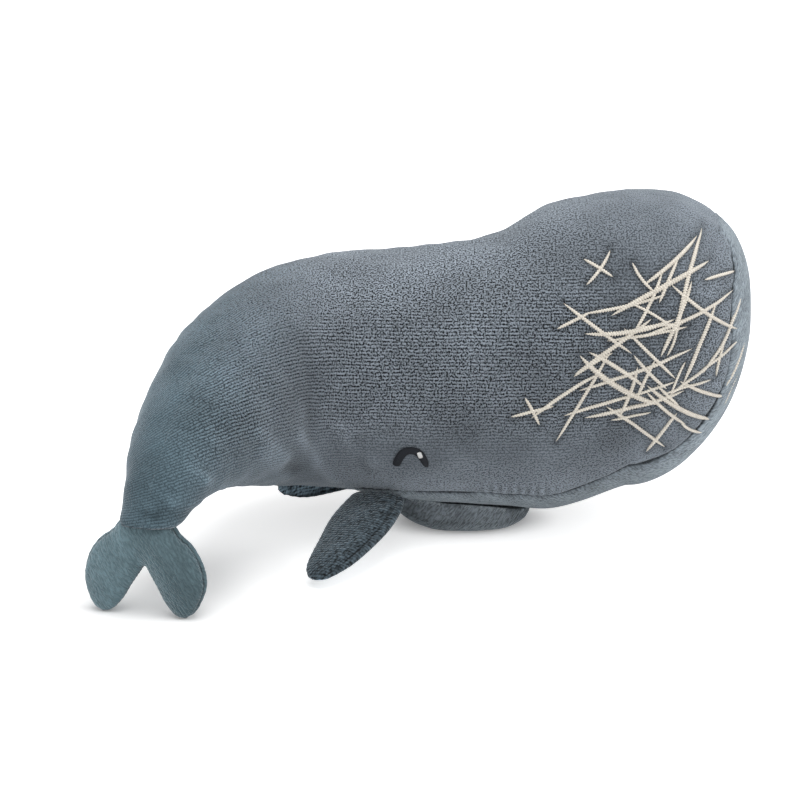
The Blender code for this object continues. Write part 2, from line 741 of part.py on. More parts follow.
def build_eye(side, word):
    run = np.linspace(-1, 1, 13)
    along = np.sin(run * math.pi / 2)
    x = EYE_X + along * EYE_WIDTH / 2
    z = EYE_HEIGHT + EYE_RISE * (1 - np.abs(along) ** EYE_ARCH_POWER)
    on_skin, outward = side_point(side, x, z)
    path = on_skin + outward * (THREAD_GAP + EYE_THREAD_HEIGHT / 2)
    taper = thread_taper(run, EYE_TAPER_POWER)
    width, height = taper * EYE_THREAD_WIDTH / 2, taper * EYE_THREAD_HEIGHT / 2
    stitch_bar(f"eye_{word}", path, outward, width, height, THREAD_BLACK)
    lean = np.linspace(-1, 1, 5)
    x = EYE_X + GLINT_PLACE_SHARE * EYE_WIDTH / 2 + lean * GLINT_WIDTH / 4
    z = EYE_HEIGHT + EYE_RISE * (1 - GLINT_PLACE_SHARE**EYE_ARCH_POWER) - lean * GLINT_LENGTH / 2
    on_skin, outward = side_point(side, x, z)
    path = on_skin + outward * (2 * THREAD_GAP + EYE_THREAD_HEIGHT + GLINT_HEIGHT / 2)
    taper = thread_taper(lean, 2)
    width, height = taper * GLINT_WIDTH / 2, taper * GLINT_HEIGHT / 2
    stitch_bar(f"eye_glint_{word}", path, outward, width, height, THREAD_WHITE)


def main():
    for item in list(bpy.data.objects):
        bpy.data.objects.remove(item, do_unlink=True)
    collection(COLLECTION)
    collection("cutters")
    floor = floor_block()
    build_body()
    build_jaw(floor)
    build_fin(-1, "right", RIGHT_FIN_DROOP)
    build_fin(1, "left", LEFT_FIN_DROOP, LEFT_FIN_LAY_BACK)
    build_flukes(floor)
    for side, word in ((-1, "right"), (1, "left")):
        build_eye(side, word)


main()
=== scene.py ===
"""Plush whale: its cloth, thread and studio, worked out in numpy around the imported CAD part.

Units are metres. +X points to the whale's head, +Y to its left and +Z up, as in the CAD frame.
Each piece is a surface over two parameters. A panel's UV map is its flat pattern in metres.
"""

import math

import bpy
import numpy as np
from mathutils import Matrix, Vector


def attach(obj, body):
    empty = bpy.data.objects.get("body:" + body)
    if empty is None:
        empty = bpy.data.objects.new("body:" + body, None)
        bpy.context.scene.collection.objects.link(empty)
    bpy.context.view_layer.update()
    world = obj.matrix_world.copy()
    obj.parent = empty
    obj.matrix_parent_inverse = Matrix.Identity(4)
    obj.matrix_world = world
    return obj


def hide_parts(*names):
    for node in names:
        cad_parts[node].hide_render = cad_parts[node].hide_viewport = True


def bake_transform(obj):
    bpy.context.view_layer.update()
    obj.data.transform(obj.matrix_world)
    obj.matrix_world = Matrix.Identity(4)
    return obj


bl_info = {
    "name": "Plush Whale",
    "version": (1, 0, 0),
    "blender": (4, 5, 0),
    "location": "View3D > Sidebar > Whale",
    "description": "Sews a stuffed velour whale from sized and coloured pieces",
    "category": "Add Mesh",
}

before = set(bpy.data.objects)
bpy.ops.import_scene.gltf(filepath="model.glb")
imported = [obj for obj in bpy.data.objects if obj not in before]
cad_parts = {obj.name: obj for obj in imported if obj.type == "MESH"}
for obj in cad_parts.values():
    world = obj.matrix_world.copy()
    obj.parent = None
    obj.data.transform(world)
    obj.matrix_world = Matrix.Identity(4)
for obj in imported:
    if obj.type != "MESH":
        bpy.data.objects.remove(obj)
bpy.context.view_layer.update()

MM = 0.001
WELD = 0.0005 * MM
PANEL_UV = "Panel"
SIDES = ((-1, "right"), (1, "left"))

# Body pattern, as in the CAD part
TRUNK_LENGTH = 146 * MM
FACE_DEPTH = 60.5 * MM
BODY_WIDTH = 118 * MM
HEAD_HEIGHT = 155 * MM
ORIGIN_SHARE = 0.452
SECTION_POWER = 2.3
BROW_POWER = 2.62
CHIN_POWER = 1.90
TAIL_BACK = 85 * MM
TAIL_SIDE = 112 * MM
TAIL_END_WIDTH = 27 * MM
TAIL_END_DEPTH = 20 * MM
TAIL_TURN = math.radians(76)
TAIL_DIVE = math.radians(80)
GUSSET_WIDTH = 82 * MM
FLAT_CUT = 0.5 * MM
LIP_GAP = 0.5 * MM
TAIL_SHARES = (
    (1.00, 1.00, 0.00, 0.00, 1.00, 1.00),
    (0.94, 0.94, 0.28, 0.08, 0.98, 0.85),
    (0.86, 0.82, 0.54, 0.22, 0.92, 0.56),
    (0.75, 0.62, 0.71, 0.39, 0.82, 0.31),
    (0.62, 0.39, 0.82, 0.61, 0.66, 0.15),
    (0.45, 0.17, 0.92, 0.80, 0.42, 0.06),
    (0.27, 0.04, 0.965, 0.93, 0.18, 0.00),
)
TRUNK_SHARES = (
    (0.00, 0.423, 0.966, 0.380, 0.363),
    (0.25, 0.429, 1.000, 0.384, 0.406),
    (0.51, 0.442, 1.000, 0.412, 0.442),
    (0.76, 0.487, 0.983, 0.481, 0.501),
    (1.00, 0.623, 0.949, 0.388, 0.566),
)
CHEEK = len(TAIL_SHARES) + len(TRUNK_SHARES) - 1
ROUND = 2 * CHEEK + 1
JAW_SEAM = CHEEK + 4.22
GUSSET_SHARES = np.array((
    (0.23, 0.05),
    (0.25, 0.46),
    (0.30, 0.82),
    (0.38, 0.93),
    (0.50, 0.94),
    (0.62, 0.88),
    (0.72, 0.88),
    (0.84, 0.98),
    (1.00, 1.00),
    (2.00, 1.00),
    (3.00, 1.05),
    (4.00, 0.99),
    (4.50, 0.88),
    (5.00, 0.66),
    (5.50, 0.37),
    (6.00, 0.05),
)) + (CHEEK, 0)

# Lower jaw, fins and flukes, as in the CAD part
JAW_LENGTH = 71 * MM
JAW_WIDTH = 58 * MM
JAW_DEPTH = 13.6 * MM
JAW_ROOT_SHARE = 0.53
JAW_POWER = 3.0
JAW_SHARES = (
    (0.00, 0.30, 0.00),
    (0.03, 0.50, 0.44),
    (0.12, 0.70, 0.74),
    (0.28, 0.90, 0.98),
    (0.48, 1.00, 1.00),
    (0.66, 0.98, 1.00),
    (0.83, 0.82, 0.92),
    (0.95, 0.52, 0.66),
    (1.00, 0.20, 0.00),
)
FIN_LENGTH = 58 * MM
FIN_ROOT_WIDTH = 28 * MM
FIN_THICKNESS = 10 * MM
FIN_GAP = 0.4 * MM
FIN_ROOT_PLACES = np.array((CHEEK + 4.00, CHEEK + 4.38, CHEEK + 4.76))
RIGHT_FIN_DROOP = math.radians(20)
LEFT_FIN_DROOP = math.radians(140)
LEFT_FIN_LAY_BACK = math.radians(60)
FIN_SHARES = (
    (-0.09, 0.42, -0.36, 0.00),
    (-0.055, 0.48, -0.42, 0.74),
    (0.00, 0.55, -0.48, 1.00),
    (0.14, 0.57, -0.58, 1.00),
    (0.34, 0.49, -0.67, 1.00),
    (0.56, 0.33, -0.71, 0.96),
    (0.76, 0.12, -0.73, 0.84),
    (0.89, -0.06, -0.72, 0.66),
    (0.97, -0.22, -0.65, 0.46),
    (1.02, -0.36, -0.52, 0.00),
)
FLUKE_LENGTH = 41.1 * MM
FLUKE_SPAN = 59.5 * MM
FLUKE_THICKNESS = 15 * MM
FLUKE_SHARES = (
    (0.70, 1.00, 0.66, 1.00, 0.00),
    (0.88, 0.88, 0.50, 0.955, 0.46),
    (1.00, 0.62, 0.34, 0.82, 0.78),
    (0.95, 0.36, 0.22, 0.67, 0.88),
    (0.78, 0.15, 0.13, 0.56, 0.94),
    (0.56, 0.02, 0.07, 0.48, 1.00),
    (0.40, -0.12, 0.03, 0.43, 1.00),
    (0.20, -0.175, 0.01, 0.42, 1.00),
    (0.00, -0.18, 0.00, 0.42, 1.00),
)

# Closed eyes
EYE_WIDTH = 15 * MM
EYE_RISE = 9.1 * MM
EYE_THREAD = (4.2 * MM, 1.4 * MM)
EYE_X = -27 * MM
EYE_HEIGHT = 49.6 * MM
EYE_ARCH_POWER = 2.8
GLINT_LENGTH = 3.2 * MM
GLINT_THREAD = (2.2 * MM, 0.8 * MM)
GLINT_SHARE = 0.55
# Their threads: strand width, ripple, lift over the cloth, taper (power, least width) and the eye's thinning
EYE_STRAND, GLINT_STRAND, EYE_RIDGE = 0.45 * MM, 0.4 * MM, 0.05
EYE_LIFT, GLINT_LIFT = 0.25 * EYE_THREAD[1], 0.72 * EYE_THREAD[1]
EYE_TAPER, GLINT_TAPER, EYE_THINNING = (7, 0.35), (8, 0.5), 0.62

# How finely the cloth is worked out, where it starts on the tail, and a distance that counts as far off
CLOTH_STEP = 1.4 * MM
SIDE_COLUMNS = 76
STRIP_COLUMNS = 57
JAW_ROWS, JAW_AROUND = 90, 97
FIN_ROWS, FLUKE_ROWS, PILLOW_AROUND = 84, 120, 73
THREAD_AROUND = 13
BEND_PASSES = 220
BEND_START, BEND_END = (1.0, 2.4), (7.6, 9.4)
TAIL_START = 0.24
FAR = 0.05

# Relief of the cloth: a seam's valley and the small folds beside it, the stuffing's lumps, the hollow at a scar
# and the slit of the mouth, narrow at the jaw's root and wider in front
VALLEY_WIDTH = 1.7 * MM
FOLD_PITCH = 5 * MM
FOLD_REACH = 5 * MM
TUCK_PITCH = 4.6 * MM
TUCK_HEIGHT = 0.6 * MM
LUMP_SIZES = (46 * MM, 17 * MM)
SMALL_LUMP_SHARE = 0.45
HOLLOW_DEPTH = 0.6 * MM
HOLLOW_WIDTH = 2 * MM
ROOT_SLIT = 0.15 * MM
MOUTH_SLIT = 1.05 * MM

# Fins and flukes: how many times paler a fin's lower face is painted (painted light: the far fin lies in the
# belly's shade), where a fin's root lies off the strip's seam, and how far round from the front edge a pillow's
# seam runs, in radians
FIN_UNDERLIGHT = 5.0
FIN_SEAM_GAPS = (1.4 * MM, 2.8 * MM)
FIN_SEAM_TURN = 0.62
FLUKE_SEAM_TURN = 0.3

# Creases of the stuffed cloth in millimetres: two ends, half width and height (a groove's is negative)
TAIL_CREASES = (
    ((-130, -110, 70), (-123, -107, 63), 2.2, 0.9),
    ((-123, -107, 63), (-116, -83, 50), 2.4, 1.1),
    ((-147, -115, 62), (-138, -118, 56), 2.4, 0.8),
    ((-138, -118, 56), (-127, -104, 51), 2.6, 1.0),
    ((-144, -120, 52), (-131, -112, 49), 2.8, -1.0),
    ((-151, -119, 51), (-146, -121, 50), 2.4, -1.3),
    ((-150, -118, 54), (-143, -120, 51), 2.0, 0.6),
    ((-150, -121, 45), (-137, -118, 45), 2.6, 0.8),
)
BELLY_CREASES = (
    ((-100, -81, 76), (-88, -66, 58), 3.4, 0.9),
    ((-81, -62, 67), (-74, -52, 53), 3.2, 0.9),
    ((-98, -79, 66), (-88, -52, 42), 3.4, 0.7),
    ((-87, -59, 52), (-83, -57, 48), 5.0, -0.9),
    ((-72, -51, 50), (-64, -42, 38), 3.2, 0.7),
    ((-62, -57, 72), (-46, -53, 51), 3.6, 0.5),
    ((-54, -56, 64), (-48, -51, 46), 3.0, -0.5),
)
# Soft light and dark patches, partly brushed pile and partly painted light and shade (lighter on the head's top
# and along the tail's outline, darker in the tail's bend): x, height and radius in millimetres, and shade
PATCHES = (
    (112, 152, 17, 0.24),
    (78, 150, 14, -0.10),
    (72, 62, 9, -0.22),
    (24, 36, 12, 0.14),
    (52, 38, 11, 0.12),
    (-86, 43, 8, -0.16),
    (-40, 66, 12, -0.10),
    (8, 112, 18, 0.08),
    (-90, 87, 16, -0.18),
    (1, 72, 18, -0.17),
    (-118, 108, 20, 0.22),
    (-146, 88, 14, 0.22),
)

# Scars in the side view: seeds, small crosses and their leans, the point that the first stroke keeps clear of,
# the crowd's middle and spread, leans in degrees, lengths, edges (least and most x, least height) and thread
SCAR_SEEDS = {-1: 71, 1: 72}
SCAR_CROSSES = (((0.031, 0.079), (-1.1, 0.25)), ((0.062, 0.147), (-0.45, 0.9)))
SCAR_START = (0.098, 0.105)
SCAR_MIDDLE, SCAR_SPREAD = (0.096, 0.107), (0.023, 0.025)
SCAR_LEANS, SCAR_LEAN_SHARES, SCAR_LEAN_SPREAD = (-40, 27, 66, 3), (0.36, 0.28, 0.24, 0.12), 8
CROSS_LENGTHS, LONG_LENGTHS, SHORT_LENGTHS = (0.013, 0.024), (0.036, 0.058), (0.015, 0.034)
SCAR_EDGES = (0.030, 0.137, 0.052)
SCAR_STRAND, SCAR_RIDGE, SCAR_LIFT = 1.3 * MM, 0.28, -0.3 * MM

# Rows of a cloth: the noise that bends them (scale, detail, reach), how round they are, a fleck's length, the
# step of the noise from row to row, and a fleck's shades
KNIT = ((70.0, 3.0, 2.4 * MM), (0.02, 0.46), 0.7 * MM, 5.3, (0.36, 0.6, 0.25, 1.0))
RIDGES = ((90.0, 3.0, 3.0 * MM), (0.05, 0.4), 2.2 * MM, 4.7, (0.34, 0.64, 0.15, 1.0))
# Noise scales, in features to a metre of cloth
GRAIN, FIBRE, BRUSHED, STITCH = 1150.0, 1900.0, 1000.0, 420.0
VELOUR_CLOUD, VELVET_CLOUD = 30.0, 110.0
DARK_PILE, BRIGHT_PILE, EVEN_PILE = 0.14, 2.75, 0.42
SHEEN = {"Sheen_Weight": 0.5, "Sheen_Roughness": 0.4}
# The number fields of a piece that its material reads
LOOKS = ("rows", "grains", "shade", "blue", "stitch")

# Studio: each lamp's place, width and setting, and what the lamps and the camera point at
FLOOR_REACH = 6.0
LAMPS = (
    ("key_lamp", (-0.1, -0.15, 1.5), 1.4, "key_power"),
    ("front_lamp", (-0.7, -1.5, 0.6), 1.0, "front_power"),
    ("face_lamp", (1.3, -0.25, 0.7), 0.8, "face_power"),
)
LAMP_AIM = (0, -0.02, 0.07)
CAMERA_AIM = (-0.0325, 0, 0.06385)
SENSOR_WIDTH = 36
# Floor: the shadows of the jaw and of the fluke tips, the pale ground far from both, and what each gives off
# (two distances and the glow at each)
JAW_SHADOW_SHAPE = (1, 1.7, 1)
TIPS_PLACE = (-0.15, -0.12, 0)
FLOOR_MIDDLE = (0.03, 0.03, 0)
JAW_GLOW = (0.023, 0.052, 0.15, 0.61)
TIPS_GLOW = (0.03, 0.11, 0.1, 0.61)
FAR_GLOW = (0.25, 0.7, 0.0, 0.3)


# --- numbers and meshes


def smooth(table, places):
    """Catmull-Rom curve through a table's rows: each span is a cubic set by its two ends and two neighbours."""
    rows = np.asarray(table, float)
    places = np.atleast_1d(np.asarray(places, float))
    first = np.clip(np.floor(places).astype(int), 0, len(rows) - 2)
    t = (places - first)[:, None]
    last = len(rows) - 1
    before, start = rows[np.maximum(first - 1, 0)], rows[first]
    end, after = rows[first + 1], rows[np.minimum(first + 2, last)]
    bend = 2 * before - 5 * start + 4 * end - after
    twist = -before + 3 * start - 3 * end + after
    return 0.5 * (2 * start + (end - before) * t + bend * t**2 + twist * t**3)


def fine_rows(table, count):
    """A table's rows joined by the smooth curve, and read off at evenly spaced places."""
    return smooth(table, np.linspace(0, len(table) - 1, count))


def unit(vectors):
    """Vectors divided by their own lengths."""
    return vectors / np.maximum(np.linalg.norm(vectors, axis=-1, keepdims=True), 1e-12)


def arc(points, axis):
    """Length along a grid of points in one direction, summed from its first row or column."""
    step = np.linalg.norm(np.diff(points, axis=axis), axis=-1)
    start = np.zeros_like(np.take(step, [0], axis=axis))
    return np.concatenate((start, np.cumsum(step, axis=axis)), axis=axis)


def ripple(points, size, seed, waves=14):
    """Soft uneven height about zero: a sum of sine waves of nearly one length, each in its own direction."""
    draw = np.random.default_rng(seed)
    way = unit(draw.normal(size=(waves, 3))) * draw.uniform(0.7, 1.4, (waves, 1))
    start = draw.uniform(0, 2 * math.pi, waves)
    return np.sin(points @ way.T * (2 * math.pi / size) + start).sum(-1) / math.sqrt(waves)


def bell(distance, width):
    """Soft bump of a distance: exp(-(d / w)^2)."""
    return np.exp(-((distance / width) ** 2))


def rounded(share, power=SECTION_POWER):
    """Superellipse: its height's share (1 - |s|^p)^(1/p) at a share s of its half width."""
    return (1 - np.abs(share) ** power) ** (1 / power)


def ease(value, low, high):
    """Smooth step from 0 at the low value to 1 at the high one: 3 t^2 - 2 t^3."""
    t = np.clip((value - low) / (high - low), 0, 1)
    return t * t * (3 - 2 * t)


def grid_faces(rows, columns):
    """Two triangles for each cell of a grid of numbered points."""
    index = np.arange(rows * columns).reshape(rows, columns)
    a, b, c, d = index[:-1, :-1], index[1:, :-1], index[1:, 1:], index[:-1, 1:]
    return np.concatenate((np.stack((a, b, c), -1).reshape(-1, 3), np.stack((a, c, d), -1).reshape(-1, 3)))


def weld(grid, fields):
    """A grid's points with equal ones merged, its faces but for those that this flattens, and its fields."""
    shape = grid.shape[:2]
    points = grid.reshape(-1, 3)
    steps = np.round(points / WELD).astype(np.int64)
    _, first, back = np.unique(steps, axis=0, return_index=True, return_inverse=True)
    faces = back.ravel()[grid_faces(*shape)]
    keep = (faces != np.roll(faces, 1, axis=1)).all(1)
    fields = {name: np.broadcast_to(value, shape).reshape(-1)[first] for name, value in fields.items()}
    return points[first], faces[keep], fields


def normals(points, faces):
    """Unit normal at each point: the sum of its triangles' area vectors."""
    a, b, c = points[faces[:, 0]], points[faces[:, 1]], points[faces[:, 2]]
    area = np.cross(b - a, c - a)
    total = np.zeros_like(points)
    for axis in range(3):
        for corner in range(3):
            total[:, axis] += np.bincount(faces[:, corner], area[:, axis], len(points))
    return unit(total)


def volume(points, faces):
    """Signed volume of a closed surface: a sixth of its triangles' triple products, summed."""
    a, b, c = points[faces[:, 0]], points[faces[:, 1]], points[faces[:, 2]]
    return (a * np.cross(b, c)).sum() / 6


def backed(points, faces, outward, thickness):
    """Closed shell: the surface, a copy pushed in by the cloth's thickness, and a wall round open edges."""
    count = len(points)
    edges = np.concatenate((faces[:, [0, 1]], faces[:, [1, 2]], faces[:, [2, 0]]))
    single = ~np.isin(edges[:, 0] * count + edges[:, 1], edges[:, 1] * count + edges[:, 0])
    a, b = edges[single].T
    rim = np.concatenate((np.stack((b, a, a + count), -1), np.stack((b, a + count, b + count), -1)))
    every = np.concatenate((points, points - outward * thickness))
    return every, np.concatenate((faces, faces[:, ::-1] + count, rim))


def linked(name, data):
    """New object at the origin that shows the data, linked into the scene."""
    made = bpy.data.objects.new(name, data)
    bpy.context.scene.collection.objects.link(made)
    return made


def make_mesh(name, points, faces, uv, fields, material):
    """Mesh object with a UV map and, at its points, the number fields that its material reads."""
    mesh = bpy.data.meshes.new(name)
    mesh.from_pydata(points.tolist(), [], faces.tolist())
    layer = mesh.uv_layers.new(name=PANEL_UV)
    layer.data.foreach_set("uv", uv[faces.ravel()].astype(np.float32).ravel())
    for key in LOOKS:
        if key in fields:
            numbers = mesh.attributes.new(key, "FLOAT", "POINT").data
            numbers.foreach_set("value", fields[key].astype(np.float32))
    mesh.shade_smooth()
    mesh.materials.append(material)
    return linked(name, mesh)


def sew(name, grid, fields, relief, material, thickness=0.0, flip=False):
    """Cloth over a grid of points: welded, raised along its normals by a relief, and backed if it is open."""
    points, faces, fields = weld(grid, fields)
    if flip or (not thickness and volume(points, faces) < 0):
        faces = faces[:, ::-1]
    points = points + normals(points, faces) * relief(points, fields)[:, None]
    points[:, 2] = np.maximum(points[:, 2], 0)
    uv = np.column_stack((fields.pop("u"), fields.pop("v")))
    if thickness:
        points, faces = backed(points, faces, normals(points, faces), thickness)
        uv = np.tile(uv, (2, 1))
        fields = {key: np.tile(value, 2) for key, value in fields.items()}
    return make_mesh(name, points, faces, uv, fields, material)


# --- the body's pattern


def body_sections():
    """Sections from the tail end to the cheek: centre, half width, height up and down, turn and dive."""
    along, centre, wide, up, down = np.array(TRUNK_SHARES).T
    none = np.zeros(len(along))
    palate = JAW_DEPTH - FLAT_CUT + LIP_GAP
    trunk = np.column_stack((
        (along - ORIGIN_SHARE) * TRUNK_LENGTH,
        none,
        palate + centre * HEAD_HEIGHT,
        wide * BODY_WIDTH / 2,
        up * HEAD_HEIGHT,
        down * HEAD_HEIGHT,
        none,
        none,
    ))
    back, side, rise, swell, turn, dive = np.array(TAIL_SHARES).T
    start = trunk[0]
    end_height = FLUKE_LENGTH * math.sin(TAIL_DIVE) - FLAT_CUT
    ends = np.array((TAIL_END_WIDTH / 2, TAIL_END_DEPTH / 2, TAIL_END_DEPTH / 2))
    sizes = ends + swell[:, None] * (start[3:6] - ends)
    tail = np.column_stack((
        start[0] - back * TAIL_BACK,
        -side * TAIL_SIDE,
        end_height + rise * (start[2] - end_height),
        sizes,
        turn * TAIL_TURN,
        dive * TAIL_DIVE,
    ))
    return np.concatenate((tail, trunk))


SECTIONS = body_sections()
TRUNK = SECTIONS[len(TAIL_SHARES):]


def section(places):
    """Rows of the sections at places from 0 to CHEEK, and their directions ahead, to the left and up."""
    rows = smooth(SECTIONS, places)
    turn, dive = rows[:, 6], rows[:, 7]
    level = np.cos(dive)
    ahead = np.column_stack((level * np.cos(turn), level * np.sin(turn), np.sin(dive)))
    left = np.column_stack((-np.sin(turn), np.cos(turn), 0 * turn))
    return rows, ahead, left, np.cross(ahead, left)


def parted(places):
    """Places on the sections for places round the outline, and which of them lie on the face and underneath."""
    under = places > CHEEK + 1
    face = (places > CHEEK) & ~under
    return np.where(under, ROUND - places, np.minimum(places, CHEEK)), face, under


def ribs(places):
    """Centre, reach to the outline and half width sideways at places along the back, round the face and back.

    On the back and underside the reach is the section's height. Round the face it turns forwards,
    with the length of a superellipse of the face's depth and the head's heights.
    """
    along, face, under = parted(places)
    rows, _, left, rise = section(along)
    wide, up, down = rows[:, 3:6].T
    reach = rise * np.where(under, -down, up)[:, None]
    turn = math.pi * (CHEEK + 0.5 - places)
    forward, upward = np.cos(turn), np.sin(turn)
    height = np.where(upward > 0, up, down)
    power = np.where(upward > 0, BROW_POWER, CHIN_POWER)
    length = (np.abs(forward / FACE_DEPTH) ** power + np.abs(upward / height) ** power) ** (-1 / power)
    fan = np.column_stack((forward, 0 * forward, upward)) * length[:, None]
    return rows[:, :3], np.where(face[:, None], fan, reach), left * wide[:, None], wide


def skin(places, sideways):
    """Points of ribs at shares s of the half width: centre + (1 - |s|^p)^(1/p) reach + s left."""
    centre, reach, left, _ = ribs(places)
    return centre[:, None] + rounded(sideways)[..., None] * reach[:, None] + sideways[..., None] * left[:, None]


def gusset_half(places):
    """Half width of the strip under the body, with the corners of its pattern rounded off."""
    where, share = GUSSET_SHARES.T
    near = places[:, None] + np.linspace(-0.1, 0.1, 5)
    half = np.interp(near, where, share, left=0, right=0).mean(1) * GUSSET_WIDTH / 2
    return np.where((places < where[0]) | (places > where[-1]), 0, half)


def even_places(first, last, step):
    """Places between two others that lie a step apart on the outline."""
    fine = np.linspace(first, last, 2000)
    length = arc(skin(fine, np.zeros((len(fine), 1)))[:, 0], 0)
    count = max(int(round(length[-1] / step)), 2)
    return np.interp(np.linspace(0, length[-1], count + 1), length, fine)


def side_places():
    """Places of a side panel: the back and the underside match at the fold along the middle of the side."""
    back = even_places(TAIL_START, CHEEK, CLOTH_STEP)
    face = even_places(CHEEK, CHEEK + 1, CLOTH_STEP)[1:-1]
    return np.concatenate((back, face, ROUND - back[::-1]))


def relaxed(grid, along):
    """Grid evened out where the tail bends: each rib is averaged with its two neighbours, many times."""
    even = grid.copy()
    for _ in range(BEND_PASSES):
        even[1:-1] += 0.25 * (even[2:] - 2 * even[1:-1] + even[:-2])
    share = ease(along, *BEND_START) * (1 - ease(along, *BEND_END))
    return grid + share[:, None, None] * (even - grid)


def side_grid(side):
    """Side panel over the whole body, with the flat pattern and the distance to its seam.

    The pattern keeps the height of the body's middle line and its length over the ground, and each rib's
    length is laid off from it in the rib's own plane. The left side's pattern carries on from the right
    side's across the back seam, so that the knit's rows meet there. Panel and pattern are relaxed alike.
    """
    places = side_places()
    wide = ribs(places)[3]
    half = gusset_half(places)
    start = np.arcsin(((half + 0.1 * MM * (half > 0)) / wide) ** (SECTION_POWER / 2))
    angle = start[:, None] + (math.pi / 2 - start)[:, None] * np.linspace(0, 1, SIDE_COLUMNS + 1) ** 1.3
    share = np.sin(angle) ** (2 / SECTION_POWER)
    share[:, -1] = 1
    along, face, under = parted(places)
    grid = relaxed(skin(places, side * share), along)
    from_seam = arc(grid, 1)
    girth = from_seam[:, -1:] - from_seam
    back = places[places <= CHEEK]
    rows = section(back)[0]
    middle = np.column_stack((arc(rows[:, :3] * (1, 1, 0), 0), rows[:, 2]))
    middle -= middle[-1]
    base = np.stack([np.interp(along, back, middle[:, axis]) for axis in (0, 1)], -1)
    lean = np.interp(along, back, rows[:, 7])
    upward = np.where(under, -math.pi / 2, math.pi / 2)
    turn = np.where(face, math.pi * (CHEEK + 0.5 - places), upward + lean)
    if side > 0:
        whole = np.interp(along, back, girth[places <= CHEEK, 0])
        base = base + 2 * whole[:, None] * np.stack((-np.sin(lean), np.cos(lean)), -1)
        turn = np.where(face, -turn, lean - upward)
    flat = base[:, None] + girth[..., None] * np.stack((np.cos(turn), np.sin(turn)), -1)[:, None]
    flat = relaxed(flat, along)
    return grid, {
        "u": flat[..., 0], "v": flat[..., 1], "seam": from_seam, "run": arc(grid[:, :1], 0),
        "place": places[:, None], "under": under[:, None].astype(float),
    }


def head_point(side, x, z):
    """Point of the side at a given x and height, with the outward direction there.

    y is the half width times the section's superellipse, (1 - r^p)^(1/p) at a share r of the reach.
    """
    fine = fine_rows(TRUNK, 80)

    def breadth(at_x, at_z):
        middle, wide, up, down = (np.interp(at_x, fine[:, 0], fine[:, k]) for k in (2, 3, 4, 5))
        over = at_z > middle
        height = np.where(over, up, down)
        power = np.where(over, BROW_POWER, CHIN_POWER)
        ahead = np.maximum(at_x - TRUNK[-1, 0], 0)
        rise = np.abs((at_z - middle) / height)
        face = ((ahead / FACE_DEPTH) ** power + rise**power) ** (1 / power)
        return wide * rounded(np.clip(np.where(ahead > 0, face, rise), 0, 1))

    step = 0.5 * MM
    slope_x = (breadth(x + step, z) - breadth(x - step, z)) / (2 * step)
    slope_z = (breadth(x, z + step) - breadth(x, z - step)) / (2 * step)
    outward = unit(np.stack((-slope_x, side + 0 * slope_x, -slope_z), -1))
    return np.stack((x, side * breadth(x, z), z), -1), outward


def head_share(x, z):
    """How near a point of the side view lies to the outline: 0 in the middle and 1 on it."""
    point = head_point(1, x, z)[0]
    return rounded(np.clip(point[..., 1] / (BODY_WIDTH / 2), 0, 1))


# --- embroidered scars


def scar_strokes(side, thread):
    """Own layout of crossing strokes on the head: side-view curves, each a line bent into a shallow arc.

    Two small crosses come first, and stand apart. A later stroke's middle is the one, of five drawn, that lies
    farthest from the middles before it. It leans one of four main ways, and the first half are long ones.
    """
    draw = np.random.default_rng(SCAR_SEEDS[side])
    t = np.linspace(-1, 1, 25)
    middles, strokes = [SCAR_START], []
    least_x, most_x, least_z = SCAR_EDGES

    def stroke(middle, lean, length, wide):
        bow = draw.normal(0, 0.035) * length
        x = middle[0] + t * length / 2 * math.cos(lean) - bow * (1 - t**2) * math.sin(lean)
        z = middle[1] + t * length / 2 * math.sin(lean) + bow * (1 - t**2) * math.cos(lean)
        return x, z, wide

    for middle, leans in SCAR_CROSSES:
        strokes += [stroke(middle, lean, draw.uniform(*CROSS_LENGTHS), 0.8) for lean in leans]
    while len(strokes) < thread.scar_count:
        tries = draw.normal(SCAR_MIDDLE, SCAR_SPREAD, (5, 2))
        gaps = np.linalg.norm(tries[:, None] - np.array(middles)[None], axis=-1).min(1)
        middle = tries[gaps.argmax()]
        lean = draw.choice(SCAR_LEANS, p=SCAR_LEAN_SHARES) + draw.normal(0, SCAR_LEAN_SPREAD)
        length = draw.uniform(*(LONG_LENGTHS if len(strokes) / thread.scar_count < 0.5 else SHORT_LENGTHS))
        wide = draw.uniform(0.8, 1.1) * min(0.45 + length / 0.06, 1) * (1.25 if 4 <= len(strokes) < 8 else 1)
        x, z, wide = stroke(middle, math.radians(lean), length, wide)
        if x.min() > least_x and x.max() < most_x and z.min() > least_z and head_share(x, z).max() < 0.95:
            strokes.append((x, z, wide))
            middles.append(tuple(middle))
    return strokes


def scar_gap(points, strokes):
    """Distance in the side view from each point to the nearest stroke, and FAR where none is near."""
    gap = np.full(len(points), FAR)
    near = np.flatnonzero(points[:, 0] > 0.01)
    if strokes and len(near):
        marks = np.concatenate([np.stack((x, z), -1) for x, z, _ in strokes])
        flat = points[near][:, [0, 2]]
        for part in np.array_split(marks, 16):
            gap[near] = np.minimum(gap[near], np.linalg.norm(flat[:, None] - part[None], axis=-1).min(1))
    return gap


def crease(points, creases):
    """Height of soft folds: each is a bell of the distance to a straight stretch, fading past its ends."""
    height = np.zeros(points.shape[:-1])
    for start, end, wide, rise in creases:
        start, end = np.array(start) * MM, np.array(end) * MM
        along = np.clip((points - start) @ (end - start) / ((end - start) ** 2).sum(), 0, 1)
        gap = np.linalg.norm(points - (start + along[..., None] * (end - start)), axis=-1)
        height += rise * MM * bell(gap, wide * MM)
    return height


# --- materials


